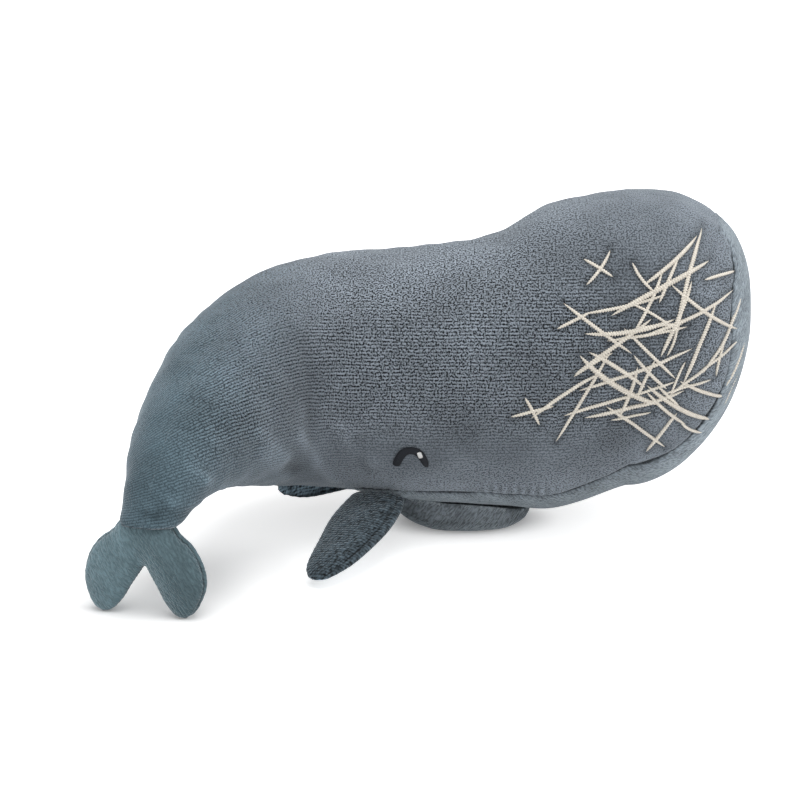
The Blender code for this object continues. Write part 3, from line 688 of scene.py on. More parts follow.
class Graph:
    """Node graph of one material, built by small calls that return sockets."""

    def __init__(self, name):
        self.material = bpy.data.materials.new(name)
        self.material.use_nodes = True
        self.tree = self.material.node_tree
        self.shader = self.tree.nodes["Principled BSDF"]

    def add(self, kind, inputs=None, output=0, **settings):
        made = self.tree.nodes.new(kind)
        for key, value in settings.items():
            setattr(made, key, value)
        for key, value in (inputs or {}).items():
            self.join(value, made.inputs[key])
        return made.outputs[output]

    def join(self, value, socket):
        if isinstance(value, bpy.types.NodeSocket):
            self.tree.links.new(value, socket)
        else:
            socket.default_value = value

    def math(self, operation, a, b=0.0):
        return self.add("ShaderNodeMath", {0: a, 1: b}, operation=operation)

    def plus(self, a, b):
        return self.math("ADD", a, b)

    def times(self, a, b):
        return self.math("MULTIPLY", a, b)

    def over(self, a, b):
        return self.math("DIVIDE", a, b)

    def blend(self, factor, a, b):
        return self.add("ShaderNodeMix", {0: factor, 2: a, 3: b})

    def ramp(self, value, low, high, start=0.0, end=1.0):
        inputs = {"Value": value, "From Min": low, "From Max": high, "To Min": start, "To Max": end}
        return self.add("ShaderNodeMapRange", inputs, interpolation_type="SMOOTHSTEP")

    def mix(self, factor, a, b, blend="MIX"):
        inputs = {0: factor, 6: a, 7: b}
        return self.add("ShaderNodeMix", inputs, 2, data_type="RGBA", blend_type=blend)

    def noise(self, vector, scale, detail=2.0):
        return self.add("ShaderNodeTexNoise", {"Vector": vector, "Scale": scale, "Detail": detail})

    def waver(self, vector, scale, detail, reach):
        """Noise about zero, half the reach to each side."""
        return self.times(self.math("SUBTRACT", self.noise(vector, scale, detail), 0.5), reach)

    def field(self, name):
        return self.add("ShaderNodeAttribute", None, 2, attribute_name=name)

    def uv(self):
        return self.add("ShaderNodeUVMap", uv_map=PANEL_UV)

    def split(self, vector):
        made = self.tree.nodes.new("ShaderNodeSeparateXYZ")
        self.join(vector, made.inputs[0])
        return made.outputs[0], made.outputs[1]

    def combine(self, x, y, z=0.0):
        return self.add("ShaderNodeCombineXYZ", {0: x, 1: y, 2: z})

    def distance(self, a, b):
        return self.add("ShaderNodeVectorMath", {0: a, 1: b}, 1, operation="DISTANCE")

    def finish(self, colour, height, distance, strength, **fixed):
        bump = self.add("ShaderNodeBump", {"Height": height, "Distance": distance, "Strength": strength})
        self.join(colour, self.shader.inputs["Base Color"])
        self.join(bump, self.shader.inputs["Normal"])
        return self.fix(**fixed)

    def fix(self, **fixed):
        for key, value in fixed.items():
            self.shader.inputs[key.replace("_", " ")].default_value = value
        return self.material


def tint(colour, factor):
    """A colour with its three channels multiplied, as a shader socket takes it."""
    return (*(min(channel * factor, 1) for channel in colour[:3]), 1)


def shaded(g, uv, cloud, colour):
    """A cloth's colour times its cloud, the piece's shade field and the painted shade along its stitch lines.

    The shade field is painted light and shade, with some brushed pile. A stitch line's painted shade stands in
    for the seam's valley; it wavers, and the cloth is plain a millimetre from it.
    """
    line = g.plus(g.field("stitch"), g.waver(uv, STITCH, 2.0, 0.7 * MM))
    # Painted shade in the valley of a seam.
    sewn = g.ramp(line, 0.1 * MM, 0.95 * MM, 0.42, 1.0)
    level = g.times(g.times(cloud, g.field("shade")), sewn)
    return g.mix(1.0, colour, g.combine(level, level, level), "MULTIPLY")


def in_rows(g, uv, pitch, bends, roundness, fleck, step, shades):
    """Flecks in rows: a rounded triangle wave over the pattern's v, times noise along u, apart in each row."""
    u, v = g.split(uv)
    turn = g.over(g.plus(v, g.waver(uv, *bends)), pitch)
    ridge = g.ramp(g.math("PINGPONG", turn, 0.5), *roundness)
    cells = g.noise(g.combine(g.over(u, fleck), g.times(g.math("FLOOR", turn), step)), 1.0)
    return g.times(ridge, g.ramp(cells, *shades))


def velour(name, colour, tail_colour, pitch):
    """Knit velour: short bright flecks in rows over a fine grain, each as strong as its field says."""
    g = Graph(name)
    uv = g.uv()
    grain = g.ramp(g.noise(uv, GRAIN), 0.39, 0.61)
    woven = g.blend(g.field("rows"), grain, g.blend(0.62, grain, in_rows(g, uv, pitch, *KNIT)))
    pile = g.ramp(g.blend(0.25, woven, g.noise(uv, FIBRE)), 0.2, 0.72)
    light = g.blend(g.field("grains"), EVEN_PILE, pile)
    cloud = g.ramp(g.noise(uv, VELOUR_CLOUD, 4.0), 0.3, 0.7, 0.84, 1.16)
    tone = g.mix(g.field("blue"), (*colour, 1), (*tail_colour, 1))
    dark, bright = (g.mix(1.0, tone, (part, part, part, 1), "MULTIPLY") for part in (DARK_PILE, BRIGHT_PILE))
    return g.finish(
        shaded(g, uv, cloud, g.mix(light, dark, bright)), light, distance=0.55 * MM, strength=0.9,
        Roughness=0.95, Specular_IOR_Level=0.12, Sheen_Tint=(0.80, 0.88, 0.96, 1), **SHEEN,
    )


def velvet(name, colour, ridge_pitch=0.0, grain_share=0.35, cloud_share=0.16):
    """Smooth short pile with a brushed grain, and faint ridges across the piece where a pitch is given."""
    g = Graph(name)
    uv = g.uv()
    u, v = g.split(uv)
    slant = g.combine(g.plus(u, g.times(v, 0.6)), g.times(v, 0.4))
    height = g.ramp(g.noise(slant, BRUSHED, 3.0), 0.36, 0.64)
    if ridge_pitch:
        height = g.blend(0.5, height, in_rows(g, uv, ridge_pitch, *RIDGES))
    cloud = g.ramp(g.noise(slant, VELVET_CLOUD, 4.0), 0.35, 0.65, 1 - cloud_share, 1 + cloud_share)
    pile = g.mix(height, tint(colour, 1 - grain_share), tint(colour, 1 + grain_share))
    return g.finish(
        shaded(g, uv, cloud, pile), height, distance=0.6 * MM, strength=0.8,
        Roughness=0.9, Specular_IOR_Level=0.15, Sheen_Tint=(0.80, 0.90, 0.97, 1), **SHEEN,
    )


def satin(name, colour, pitch, gloss=0.5, dark=0.45, specular=0.35):
    """Satin-stitched thread: close slanting ridges across the bar, each a soft glossy strand."""
    g = Graph(name)
    u, v = g.split(g.uv())
    turn = g.over(g.plus(u, g.times(v, 0.7)), pitch)
    ridge = g.ramp(g.math("PINGPONG", turn, 0.5), 0.0, 0.4)
    strand = g.noise(g.combine(g.times(g.math("FLOOR", turn), 3.1), g.times(v, 400.0)), 1.0)
    light = g.times(ridge, g.ramp(strand, 0.2, 0.8, 0.65, 1.0))
    # The strands' crests are painted lighter and the grooves between them darker: painted highlight and painted
    # shade.
    base = g.mix(light, tint(colour, dark), tint(colour, 1.1))
    return g.finish(
        base, ridge, distance=0.15 * MM, strength=0.8, Roughness=gloss, Specular_IOR_Level=specular,
    )


# --- settings


def a_colour(name, description, default):
    """Colour setting."""
    return bpy.props.FloatVectorProperty(
        name=name, description=description, subtype="COLOR", size=3, min=0, max=1, default=default
    )


def a_number(name, description, default, least, most, **kind):
    """Number setting, with its unit or subtype where one fits."""
    return bpy.props.FloatProperty(
        name=name, description=description, default=default, min=least, max=most, **kind
    )


def a_length(name, description, default, least, most):
    """Length setting, with its default and limits in millimetres."""
    return a_number(name, description, default * MM, least * MM, most * MM, unit="LENGTH")


class WhaleCloth(bpy.types.PropertyGroup):
    """Sizes and colours of the cloth."""

    side_colour: a_colour("Side colour", "Velour of the head and trunk", (0.086, 0.099, 0.114))
    tail_colour: a_colour("Tail colour", "The bluer velour towards the tail", (0.048, 0.073, 0.088))
    strip_colour: a_colour("Strip colour", "Velour of the face and belly strips", (0.182, 0.213, 0.240))
    jaw_colour: a_colour("Jaw colour", "Velour of the lower jaw", (0.150, 0.172, 0.190))
    fin_colour: a_colour("Fin colour", "Velour of the fins", (0.046, 0.063, 0.076))
    fluke_colour: a_colour("Fluke colour", "Velour of the flukes", (0.098, 0.150, 0.171))
    row_pitch: a_length("Row pitch", "Distance between the rows of the knit", 1.68, 0.5, 6)
    thickness: a_length("Thickness", "Thickness of the cloth", 1.2, 0.3, 3)
    seam_depth: a_length("Seam depth", "How far a seam sinks into the stuffing", 0.9, 0, 4)
    pucker: a_length("Pucker", "Height of the small folds beside a seam", 0.4, 0, 2)
    lump: a_length("Lumps", "Height of the uneven stuffing under the cloth", 0.5, 0, 4)


class WhaleThread(bpy.types.PropertyGroup):
    """Sizes and colours of the embroidery."""

    eye_colour: a_colour("Eye colour", "Thread of the closed eyes", (0.010, 0.012, 0.017))
    glint_colour: a_colour("Glint colour", "Thread of the glint in each eye", (0.85, 0.85, 0.84))
    scar_colour: a_colour("Scar colour", "Thread of the scars on the head", (1.0, 0.87, 0.77))
    scar_width: a_length("Scar width", "Width of a scar's satin stitch", 1.9, 0.5, 5)
    scar_height: a_length("Scar height", "Height of a scar above the cloth", 0.9, 0.2, 3)
    scar_count: bpy.props.IntProperty(
        name="Scars", description="Number of scars on each side of the head", default=52, min=0, max=90,
    )


class WhaleStage(bpy.types.PropertyGroup):
    """The floor, the lamps and the camera."""

    floor_colour: a_colour("Floor colour", "Colour of the floor and backdrop", (0.9, 0.9, 0.9))
    key_power: a_number("Key lamp", "Power of the large lamp overhead", 17, 0, 1000, unit="POWER")
    front_power: a_number("Front lamp", "Power of the lamp beside the camera", 6, 0, 1000, unit="POWER")
    face_power: a_number("Face lamp", "Power of the lamp in front of the face", 9, 0, 1000, unit="POWER")
    ambient: a_number("Ambient", "Brightness of the white surroundings", 0.5, 0, 2)
    camera_distance: a_length("Camera distance", "From the camera to the point it looks at", 1500, 300, 20000)
    camera_height: a_number(
        "Camera elevation", "Angle of the view above the horizon", math.radians(20), 0, math.pi / 2,
        subtype="ANGLE",
    )
    lens: a_number("Lens", "Focal length in millimetres", 135, 20, 400)


# --- pieces


def puckers(seam, run, pitch, reach, phase=0.0):
    """Small folds square to a seam that fade away from it: exp(-seam / reach) sin(2 pi run / pitch + phase)."""
    return np.exp(-seam / reach) * np.sin(2 * math.pi * run / pitch + phase)


def seam_relief(cloth, seam, run, points):
    """Height beside a sewn seam: a narrow valley, and small folds square to it that fade away from it."""
    valley = -cloth.seam_depth * bell(seam, VALLEY_WIDTH)
    folds = puckers(seam, run, FOLD_PITCH, FOLD_REACH, 1.6 * ripple(points, 30 * MM, seed=5))
    return valley + cloth.pucker * ease(seam, 0, 2.5 * MM) * folds


def lumps(points, cloth):
    """Height of the uneven stuffing: a wide ripple, and a smaller one on it."""
    large, small = (ripple(points, size, seed) for size, seed in zip(LUMP_SIZES, (11, 12)))
    return cloth.lump * (large + SMALL_LUMP_SHARE * small)


def side_relief(cloth):
    """Height of the side cloth: seam, uneven stuffing, creases, and hollows beside the scars."""

    def relief(points, fields):
        sewn = fields["pull"] * seam_relief(cloth, fields["seam"], fields["run"], points)
        sewn = sewn + TUCK_HEIGHT * fields["tuck"]
        return sewn + lumps(points, cloth) + fields["crease"] - HOLLOW_DEPTH * bell(fields["gap"], HOLLOW_WIDTH)

    return relief


def cloth_fields(side, grid, fields, thread):
    """How strong the knit's rows and grain show over the side, how blue the cloth is there, and the painted
    light and shade laid on it.

    Each is a product of smooth steps and bells over x, the height and the share of the way from the seam.
    """
    x, height, seam, under = grid[..., 0], grid[..., 2], fields["seam"], fields["under"]
    share = seam / seam[:, -1:]
    back = ease(share, 0.25, 0.62) * (1 - under)
    belly = ease(share, 0.16, 0.6) * under
    trunk = ease(x, -0.125, -0.06)
    knit = 1 - trunk * (1 - back - belly)
    fields["rows"] = 0.06 + 0.94 * knit * (1 - 0.2 * trunk)
    eye = bell(x - EYE_X, 0.02) * bell(height - EYE_HEIGHT, 0.014)
    upper = ease(height, 0.055, 0.085) * ease(x, -0.15, -0.1) * (1 - 0.5 * ease(x, 0.045, 0.085))
    top = 1 - 0.5 * ease(height, 0.125, 0.15) * ease(x, 0, 0.06)
    fields["grains"] = (0.36 + 0.64 * upper * top) * (1 - 0.3 * eye) + 0.12 * under * (1 - belly) * trunk
    from_end = np.minimum(arc(grid, 0), arc(grid[::-1], 0)[::-1])
    open_seam = np.clip(gusset_half(fields["place"][:, 0]) / (6 * MM), 0, 1)[:, None]
    fields["pull"] = 0.05 + 0.95 * open_seam
    mouth = ease(x, 0.0, 0.012) * (1 - ease(x, 0.036, 0.05)) * under
    tuck = mouth * bell(seam - 5 * MM, 5 * MM) * np.sin(2 * math.pi * fields["run"] / TUCK_PITCH)
    fields["tuck"] = tuck
    # The stitch distance places the painted shade in the seam beside the strip, which fades high on the face,
    # and round the cut at the tail's end.
    faint = 0.7 * MM * ease(height, 0.065, 0.10) * (1 - under)
    fields["stitch"] = np.minimum(seam / np.maximum(open_seam, 0.02) + faint, from_end)
    folds = (1.3 if side < 0 else 0.9) * crease(grid * (1, -side, 1), BELLY_CREASES)
    folds = folds + 0.65 * crease(grid, TAIL_CREASES)
    fields["crease"] = folds - 0.9 * MM * bell(from_end, 1.8 * MM)
    gap = scar_gap(grid.reshape(-1, 3), scar_strokes(side, thread)).reshape(seam.shape)
    fields["gap"] = gap
    # Painted shade in the hollows beside the scars.
    scar_hollow_shade = 1 - 0.46 * bell(gap, 2.2 * MM)
    # Partly brushed pile and partly painted light: the trunk is lighter near its back's middle and beside the
    # face strip. The creases get painted light on their ridges and painted shade in their grooves.
    brushed = 1 + 0.22 * trunk * (1 - under) * (1 - ease(share, 0.05, 0.6)) + 0.42 * np.clip(folds / MM, -1, 1)
    lip = 1 + 0.14 * under * trunk * bell(seam - 0.007, 0.006)
    # Patches of brushed pile and of painted light and shade.
    soft = 1 + sum(
        shade * bell(np.hypot(x - at * MM, height - up * MM), wide * MM) for at, up, wide, shade in PATCHES
    )
    # The factor (1 + 0.4 tuck) paints light and shade on the small folds above the mouth seam.
    fields["shade"] = scar_hollow_shade * brushed * lip * soft * (1 + 0.4 * tuck)
    fields["blue"] = 1 - ease(x, -0.15, -0.06)
    return fields


def sew_side(side, word, cloth, thread, material):
    """Side cloth over the whole body, across the tail's hinge."""
    grid, fields = side_grid(side)
    fields = cloth_fields(side, grid, fields, thread)
    made = sew(f"{word}_side_cloth", grid, fields, side_relief(cloth), material, cloth.thickness, side < 0)
    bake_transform(made)
    return made


def sew_strip(name, first, last, cloth, material):
    """Strip between two places: ribs crossed evenly between the two seams, dipping at each edge."""
    places = even_places(first, last, CLOTH_STEP)
    wide = ribs(places)[3]
    half = (np.maximum(gusset_half(places) - 0.1 * MM, 0.05 * MM) / wide)[:, None]
    grid = skin(places, half * np.linspace(-1, 1, STRIP_COLUMNS))
    across = arc(grid, 1)
    seam = np.minimum(across, across[:, -1:] - across)
    run = arc(grid[:, :1], 0)
    fields = {"u": run, "v": across - across[:, -1:] / 2, "seam": seam, "run": run}
    # Painted shade: the stitch distance darkens the seams' valleys, fading up the face, and the strip is darker
    # under the head than on the face's front.
    fields["stitch"] = seam + 0.7 * MM * ease(grid[..., 2], 0.065, 0.10)
    fields["shade"] = 0.8 + 0.35 * ease(grid[..., 0], 0.06, 0.13)

    def relief(points, values):
        sewn = seam_relief(cloth, values["seam"], values["run"], points)
        return sewn + 0.5 * cloth.lump * ripple(points, 30 * MM, seed=21)

    made = sew(name, grid, fields, relief, material, cloth.thickness)
    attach(made, "trunk")
    return made


def underside(x, y):
    """Height of the skin's underside over a point of the floor."""
    trunk = fine_rows(TRUNK, 60)
    low, half, drop = (np.interp(x, trunk[:, 0], trunk[:, k]) for k in (2, 3, 5))
    return low - drop * rounded(y / half)


def build_jaw(material):
    """Jaw pillow: a plan from the table, a roof under the head and a bowl flattened by the floor.

    Round each row, the width follows a cosine and the depth a superellipse of the floor's distance.
    """
    along, half, deep = fine_rows(JAW_SHARES, JAW_ROWS).T
    deep = np.clip(deep, 0, 1)
    x = (along - JAW_ROOT_SHARE) * JAW_LENGTH
    turn = np.linspace(0, 2 * math.pi, JAW_AROUND)
    sideways = np.cos(turn)
    y = half[:, None] * JAW_WIDTH / 2 * sideways
    slit = ROOT_SLIT + MOUTH_SLIT * ease(along, 0.27, 0.42)
    roof = underside(x[:, None], y) - slit[:, None]
    bulge = rounded(sideways, JAW_POWER)
    bowl = deep[:, None] * (roof + FLAT_CUT) * bulge
    depth = np.where(np.sin(turn) < 0, bowl, 0.8 * MM * bulge * np.minimum(deep[:, None] * 3, 1))
    z = np.maximum(roof - depth, 0)
    grid = np.stack((np.broadcast_to(x[:, None], y.shape), y, z), -1)
    edge = arc(grid, 1)
    length = edge[:, -1:] / 2
    seam = np.minimum(np.minimum(edge, np.abs(edge - length)), 2 * length - edge)
    fields = {"u": grid[..., 0], "v": -grid[..., 2] + 0 * y, "seam": seam, "run": arc(grid[:, :1], 0)}
    fields["stitch"] = seam + FAR
    # Painted light and shade: the jaw is lighter along its bottom, as painted floor light, and darker along the
    # rim where its roof meets the bowl.
    fields["shade"] = 1 + 0.2 * (1 - ease(grid[..., 2], 0.002, 0.009)) - 0.35 * np.exp(-seam / (1.2 * MM))

    def relief(points, values):
        seam, run = values["seam"], values["run"]
        pucker = 0.2 * MM * puckers(seam, run, 4.5 * MM, 3.5 * MM, ripple(points, 20 * MM, seed=8))
        free = np.clip(points[:, 2] / (3 * MM), 0, 1) * ease(seam, 0, 4 * MM)
        return free * (pucker + 0.25 * MM * ripple(points, 18 * MM, seed=31))

    made = sew("jaw_pillow", grid, fields, relief, material)
    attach(made, "jaw")
    return made


def pillow(edges, axes, origin, rows, seam_turn):
    """Closed flat pillow between a front and a back edge: an ellipse across, as thick as its table says.

    One seam runs along the back edge, and one where the ellipse has turned by the seam's angle from the front.
    """
    fine = fine_rows(np.column_stack(edges), rows)
    front, back, thick = fine[:, :2], fine[:, 2:4], np.maximum(fine[:, 4], 0)
    turn = np.linspace(0, 2 * math.pi, PILLOW_AROUND)
    share = (1 - np.cos(turn)) / 2
    flat = front[:, None] * (1 - share)[:, None] + back[:, None] * share[:, None]
    height = thick[:, None] * np.sin(turn)
    grid = origin + flat @ np.asarray(axes[:2]) + height[..., None] * np.asarray(axes[2])
    across = arc(grid, 1)
    whole = across[:, -1:]
    gap = np.abs(across - across[:, [np.abs(turn - seam_turn).argmin()]])
    seam = np.minimum(np.minimum(gap, whole - gap), np.abs(across - whole / 2))
    run = arc(grid[:, :1], 0)
    return grid, {"u": flat[..., 0], "v": flat[..., 1], "seam": seam, "stitch": seam, "run": run}


def pillow_relief(size, seed):
    """Height of a small pillow's cloth: a groove along its seams and faint unevenness between them."""

    def relief(points, fields):
        groove = -0.8 * MM * bell(fields["seam"], 1.3 * MM)
        pucker = 0.18 * MM * puckers(fields["seam"], fields["run"], 4.2 * MM, 3 * MM)
        return groove + pucker + 0.2 * MM * ripple(points, size, seed)

    return relief


def fin_hinge(side):
    """Hinge line of a fin on the seam between the side and the strip, as the CAD part sets it."""
    wide = ribs(FIN_ROOT_PLACES)[3]
    where, share = GUSSET_SHARES.T
    seam = side * np.interp(FIN_ROOT_PLACES, where, share) * GUSSET_WIDTH / 2
    near, far = (seam + side * gap for gap in FIN_SEAM_GAPS)
    front, middle, back = skin(FIN_ROOT_PLACES, (near / wide)[:, None])[:, 0]
    over = skin(FIN_ROOT_PLACES, (far / wide)[:, None])[1, 0]
    along = unit(front - back)
    outward = unit(-side * np.cross(along, over - middle))
    return middle + outward * (FIN_THICKNESS / 2 + FIN_GAP), along


def laid_back(edge, angle):
    """An outline turned in its own plane, more and more from the root outwards."""
    turn = angle * np.clip(edge[:, 1] / FIN_ROOT_WIDTH, 0, 1)
    x = edge[:, 0] * np.cos(turn) - edge[:, 1] * np.sin(turn)
    return np.column_stack((x, edge[:, 0] * np.sin(turn) + edge[:, 1] * np.cos(turn)))


def build_fin(side, word, droop, lay_back, material):
    """Fin pillow: its outline is laid off along the hinge and down the drooping blade, and turned back."""
    origin, along = fin_hinge(side)
    level = unit(-side * np.cross(along, (0, 0, 1)))
    raised = side * np.cross(along, level)
    blade = math.cos(droop) * level - math.sin(droop) * raised
    upper = math.cos(droop) * raised + math.sin(droop) * level
    out, front, back, thick = np.array(FIN_SHARES).T
    front, back = (np.column_stack((edge * FIN_ROOT_WIDTH, out * FIN_LENGTH)) for edge in (front, back))
    edges = (laid_back(front, lay_back), laid_back(back, lay_back), thick * FIN_THICKNESS / 2)
    grid, fields = pillow(edges, (along, blade, upper), origin, FIN_ROWS, FIN_SEAM_TURN)
    # Painted light: the lower face is painted paler, for the far fin in the shade under the belly.
    painted_underlight = ease(-np.sin(np.linspace(0, 2 * math.pi, PILLOW_AROUND)), 0.25, 0.8)
    # Painted shade: darker at the root, where the fin tucks under the body.
    root = 0.72 + 0.28 * ease(fields["v"], -0.004, 0.016)
    fields["shade"] = root * (1 + (FIN_UNDERLIGHT - 1) * painted_underlight)
    made = sew(f"{word}_fin_pillow", grid, fields, pillow_relief(22 * MM, seed=41), material)
    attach(made, f"{word}_fin")
    return made


def build_flukes(material):
    """Flukes' pillow: half the outline, and the same mirrored, laid off from the end of the tail."""
    rows, ahead, left, rise = section(np.array([0.0]))
    half = np.array(FLUKE_SHARES)
    whole = np.concatenate((half, (half * (-1, 1, -1, 1, 1))[-2::-1]))
    sizes = (FLUKE_SPAN / 2, FLUKE_LENGTH)
    edges = (whole[:, :2] * sizes, whole[:, 2:4] * sizes, whole[:, 4] * FLUKE_THICKNESS / 2)
    axes = (left[0], -ahead[0], rise[0])
    grid, fields = pillow(edges, axes, rows[0, :3], FLUKE_ROWS, FLUKE_SEAM_TURN)
    u = fields["u"]
    # Painted light and shade: lighter on the lobe to the whale's left, which faces the light, and darker out
    # along the other lobe, in the body's shade.
    fields["shade"] = 1.05 + 0.16 * np.clip(u / (10 * MM), 0, 1) + 0.32 * np.clip(u / (20 * MM), -1, 0)
    made = sew("tail_flukes", grid, fields, pillow_relief(24 * MM, seed=51), material)
    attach(made, "flukes")
    return made


def thread_bar(cloth, side, x, z, lift, shape, size, pitch, ridge):
    """Bar of thread along a side-view curve on the head, lifted off the cloth.

    An ellipse is carried along the path, as wide and high as its size times the shape's share there. Its radius
    ripples once per strand, on a slant.
    """
    base, outward = head_point(side, x, z)
    path = base + outward * (lumps(base, cloth) + lift)[:, None]
    across = np.cross(outward, unit(np.gradient(path, axis=0)))
    angle = np.linspace(0, 2 * math.pi, THREAD_AROUND)
    run = arc(path, 0)[:, None]
    half_width, half_height = shape * size[0] / 2, shape * size[1] / 2
    swell = 1 + ridge * np.cos(2 * math.pi * run / pitch + 1.2 * np.cos(angle))
    ring = (half_width[:, None] * np.cos(angle) * swell)[..., None] * across[:, None]
    ring = ring + (half_height[:, None] * np.sin(angle) * swell)[..., None] * outward[:, None]
    return path[:, None] + ring, {"u": run, "v": angle * half_width.max()}


def join_bars(name, bars, material):
    """Several bars of thread as one mesh."""
    points, faces, uv, count = [], [], [], 0
    for grid, fields in bars:
        part_points, part_faces, fields = weld(grid, fields)
        if volume(part_points, part_faces) < 0:
            part_faces = part_faces[:, ::-1]
        points.append(part_points)
        faces.append(part_faces + count)
        uv.append(np.column_stack((fields["u"], fields["v"])))
        count += len(part_points)
    return make_mesh(name, np.concatenate(points), np.concatenate(faces), np.concatenate(uv), {}, material)


def taper(t, power, least):
    """Width along a bar: (1 - |t|^power)^(1/2), never under its least, and nothing at its closed ends."""
    width = np.sqrt(np.clip(1 - np.abs(t) ** power, least**2, 1))
    width[[0, -1]] = 0
    return width


# --- operators


class WHALE_OT_sides(bpy.types.Operator):
    """Sew the two side cloths over the head, trunk and tail"""

    bl_idname = "whale.sides"
    bl_label = "Side Cloths"

    def execute(self, context):
        cloth, thread = context.scene.whale_cloth, context.scene.whale_thread
        material = velour("slate_velour_knit", cloth.side_colour, cloth.tail_colour, cloth.row_pitch)
        for side, word in SIDES:
            made = sew_side(side, word, cloth, thread, material)
            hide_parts(f"side_panel_{word}", f"tail_panel_{word}")
            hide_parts("body_stuffing", "head_stuffing", "tail_stuffing")
        return {"FINISHED"}


class WHALE_OT_strips(bpy.types.Operator):
    """Sew the paler strip round the face and under the body, in two lengths"""

    bl_idname = "whale.strips"
    bl_label = "Face and Belly Strips"

    def execute(self, context):
        cloth = context.scene.whale_cloth
        material = velvet("pale_velour_pile", cloth.strip_colour)
        first, last = GUSSET_SHARES[0, 0], GUSSET_SHARES[-1, 0]
        for name, node, start, end in (
            ("face_strip", "face_gusset", first, JAW_SEAM),
            ("belly_strip", "belly_gusset", JAW_SEAM, last),
        ):
            made = sew_strip(name, start, end, cloth, material)
            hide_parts(node)
        return {"FINISHED"}


class WHALE_OT_jaw(bpy.types.Operator):
    """Stuff the lower jaw"""

    bl_idname = "whale.jaw"
    bl_label = "Lower Jaw"

    def execute(self, context):
        cloth = context.scene.whale_cloth
        made = build_jaw(velvet("jaw_velour_pile", cloth.jaw_colour))
        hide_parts("jaw_under_panel", "jaw_roof_panel", "jaw_stuffing")
        return {"FINISHED"}


class WHALE_OT_fins(bpy.types.Operator):
    """Stuff the two fins"""

    bl_idname = "whale.fins"
    bl_label = "Fins"

    def execute(self, context):
        cloth = context.scene.whale_cloth
        material = velvet("dark_velour_pile", cloth.fin_colour, ridge_pitch=1.5 * MM, grain_share=0.95)
        for side, word, droop, lay_back in (
            (-1, "right", RIGHT_FIN_DROOP, 0.0),
            (1, "left", LEFT_FIN_DROOP, LEFT_FIN_LAY_BACK),
        ):
            made = build_fin(side, word, droop, lay_back, material)
            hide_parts(f"{word}_fin_top_panel", f"{word}_fin_under_panel", f"{word}_fin_stuffing")
        return {"FINISHED"}


class WHALE_OT_flukes(bpy.types.Operator):
    """Stuff the flukes"""

    bl_idname = "whale.flukes"
    bl_label = "Flukes"

    def execute(self, context):
        cloth = context.scene.whale_cloth
        material = velvet("sea_grey_velour_pile", cloth.fluke_colour, grain_share=0.16, cloud_share=0.1)
        made = build_flukes(material)
        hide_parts("fluke_top_panel", "fluke_under_panel", "fluke_stuffing")
        return {"FINISHED"}


class WHALE_OT_eyes(bpy.types.Operator):
    """Stitch the closed eyes and their glints"""

    bl_idname = "whale.eyes"
    bl_label = "Closed Eyes"

    def execute(self, context):
        cloth, thread = context.scene.whale_cloth, context.scene.whale_thread
        black = satin("black_satin_thread", thread.eye_colour, EYE_STRAND, gloss=0.6, dark=0.6, specular=0.2)
        white = satin("white_satin_thread", thread.glint_colour, GLINT_STRAND)
        for side, word in SIDES:
            t = np.linspace(-1, 1, 221)
            across = np.sin(t * math.pi / 2)
            x = EYE_X + across * EYE_WIDTH / 2
            z = EYE_HEIGHT + EYE_RISE * (1 - np.abs(across) ** EYE_ARCH_POWER)
            shape = taper(t, *EYE_TAPER) * (1 - EYE_THINNING * np.clip(t, 0, 1) ** 3)
            bar = thread_bar(cloth, side, x, z, EYE_LIFT, shape, EYE_THREAD, EYE_STRAND, EYE_RIDGE)
            made = join_bars(f"{word}_closed_eye", [bar], black)
            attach(made, "trunk")
            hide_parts(f"eye_{word}")
            t = np.linspace(-1, 1, 41)
            x = EYE_X + GLINT_SHARE * EYE_WIDTH / 2 + t * GLINT_THREAD[0] / 4
            z = EYE_HEIGHT + EYE_RISE * (1 - GLINT_SHARE**EYE_ARCH_POWER) - t * GLINT_LENGTH / 2
            shape = taper(t, *GLINT_TAPER)
            bar = thread_bar(cloth, side, x, z, GLINT_LIFT, shape, GLINT_THREAD, GLINT_STRAND, EYE_RIDGE)
            made = join_bars(f"{word}_eye_shine", [bar], white)
            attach(made, "trunk")
            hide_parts(f"eye_glint_{word}")
        return {"FINISHED"}


class WHALE_OT_scars(bpy.types.Operator):
    """Stitch the pale crossing scars on both sides of the head"""

    bl_idname = "whale.scars"
    bl_label = "Scars"

    def execute(self, context):
        cloth, thread = context.scene.whale_cloth, context.scene.whale_thread
        material = satin("scar_satin_thread", thread.scar_colour, SCAR_STRAND / 2, gloss=0.6, dark=0.38)
        size = (thread.scar_width, 2 * thread.scar_height)
        for side, word in SIDES:
            bars = []
            for x, z, wide in scar_strokes(side, thread):
                run = arc(np.stack((x, z), -1), 0)
                fine = np.linspace(0, run[-1], max(int(run[-1] / (0.28 * MM)), 8))
                x, z = np.interp(fine, run, x), np.interp(fine, run, z)
                shape = np.maximum(1 - np.linspace(-1, 1, len(fine)) ** 4, 0.05) ** 0.8 * wide
                shape[[0, -1]] = 0
                bars.append(thread_bar(cloth, side, x, z, SCAR_LIFT, shape, size, SCAR_STRAND, SCAR_RIDGE))
            made = join_bars(f"{word}_scar_stitches", bars, material)
            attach(made, "trunk")
        return {"FINISHED"}


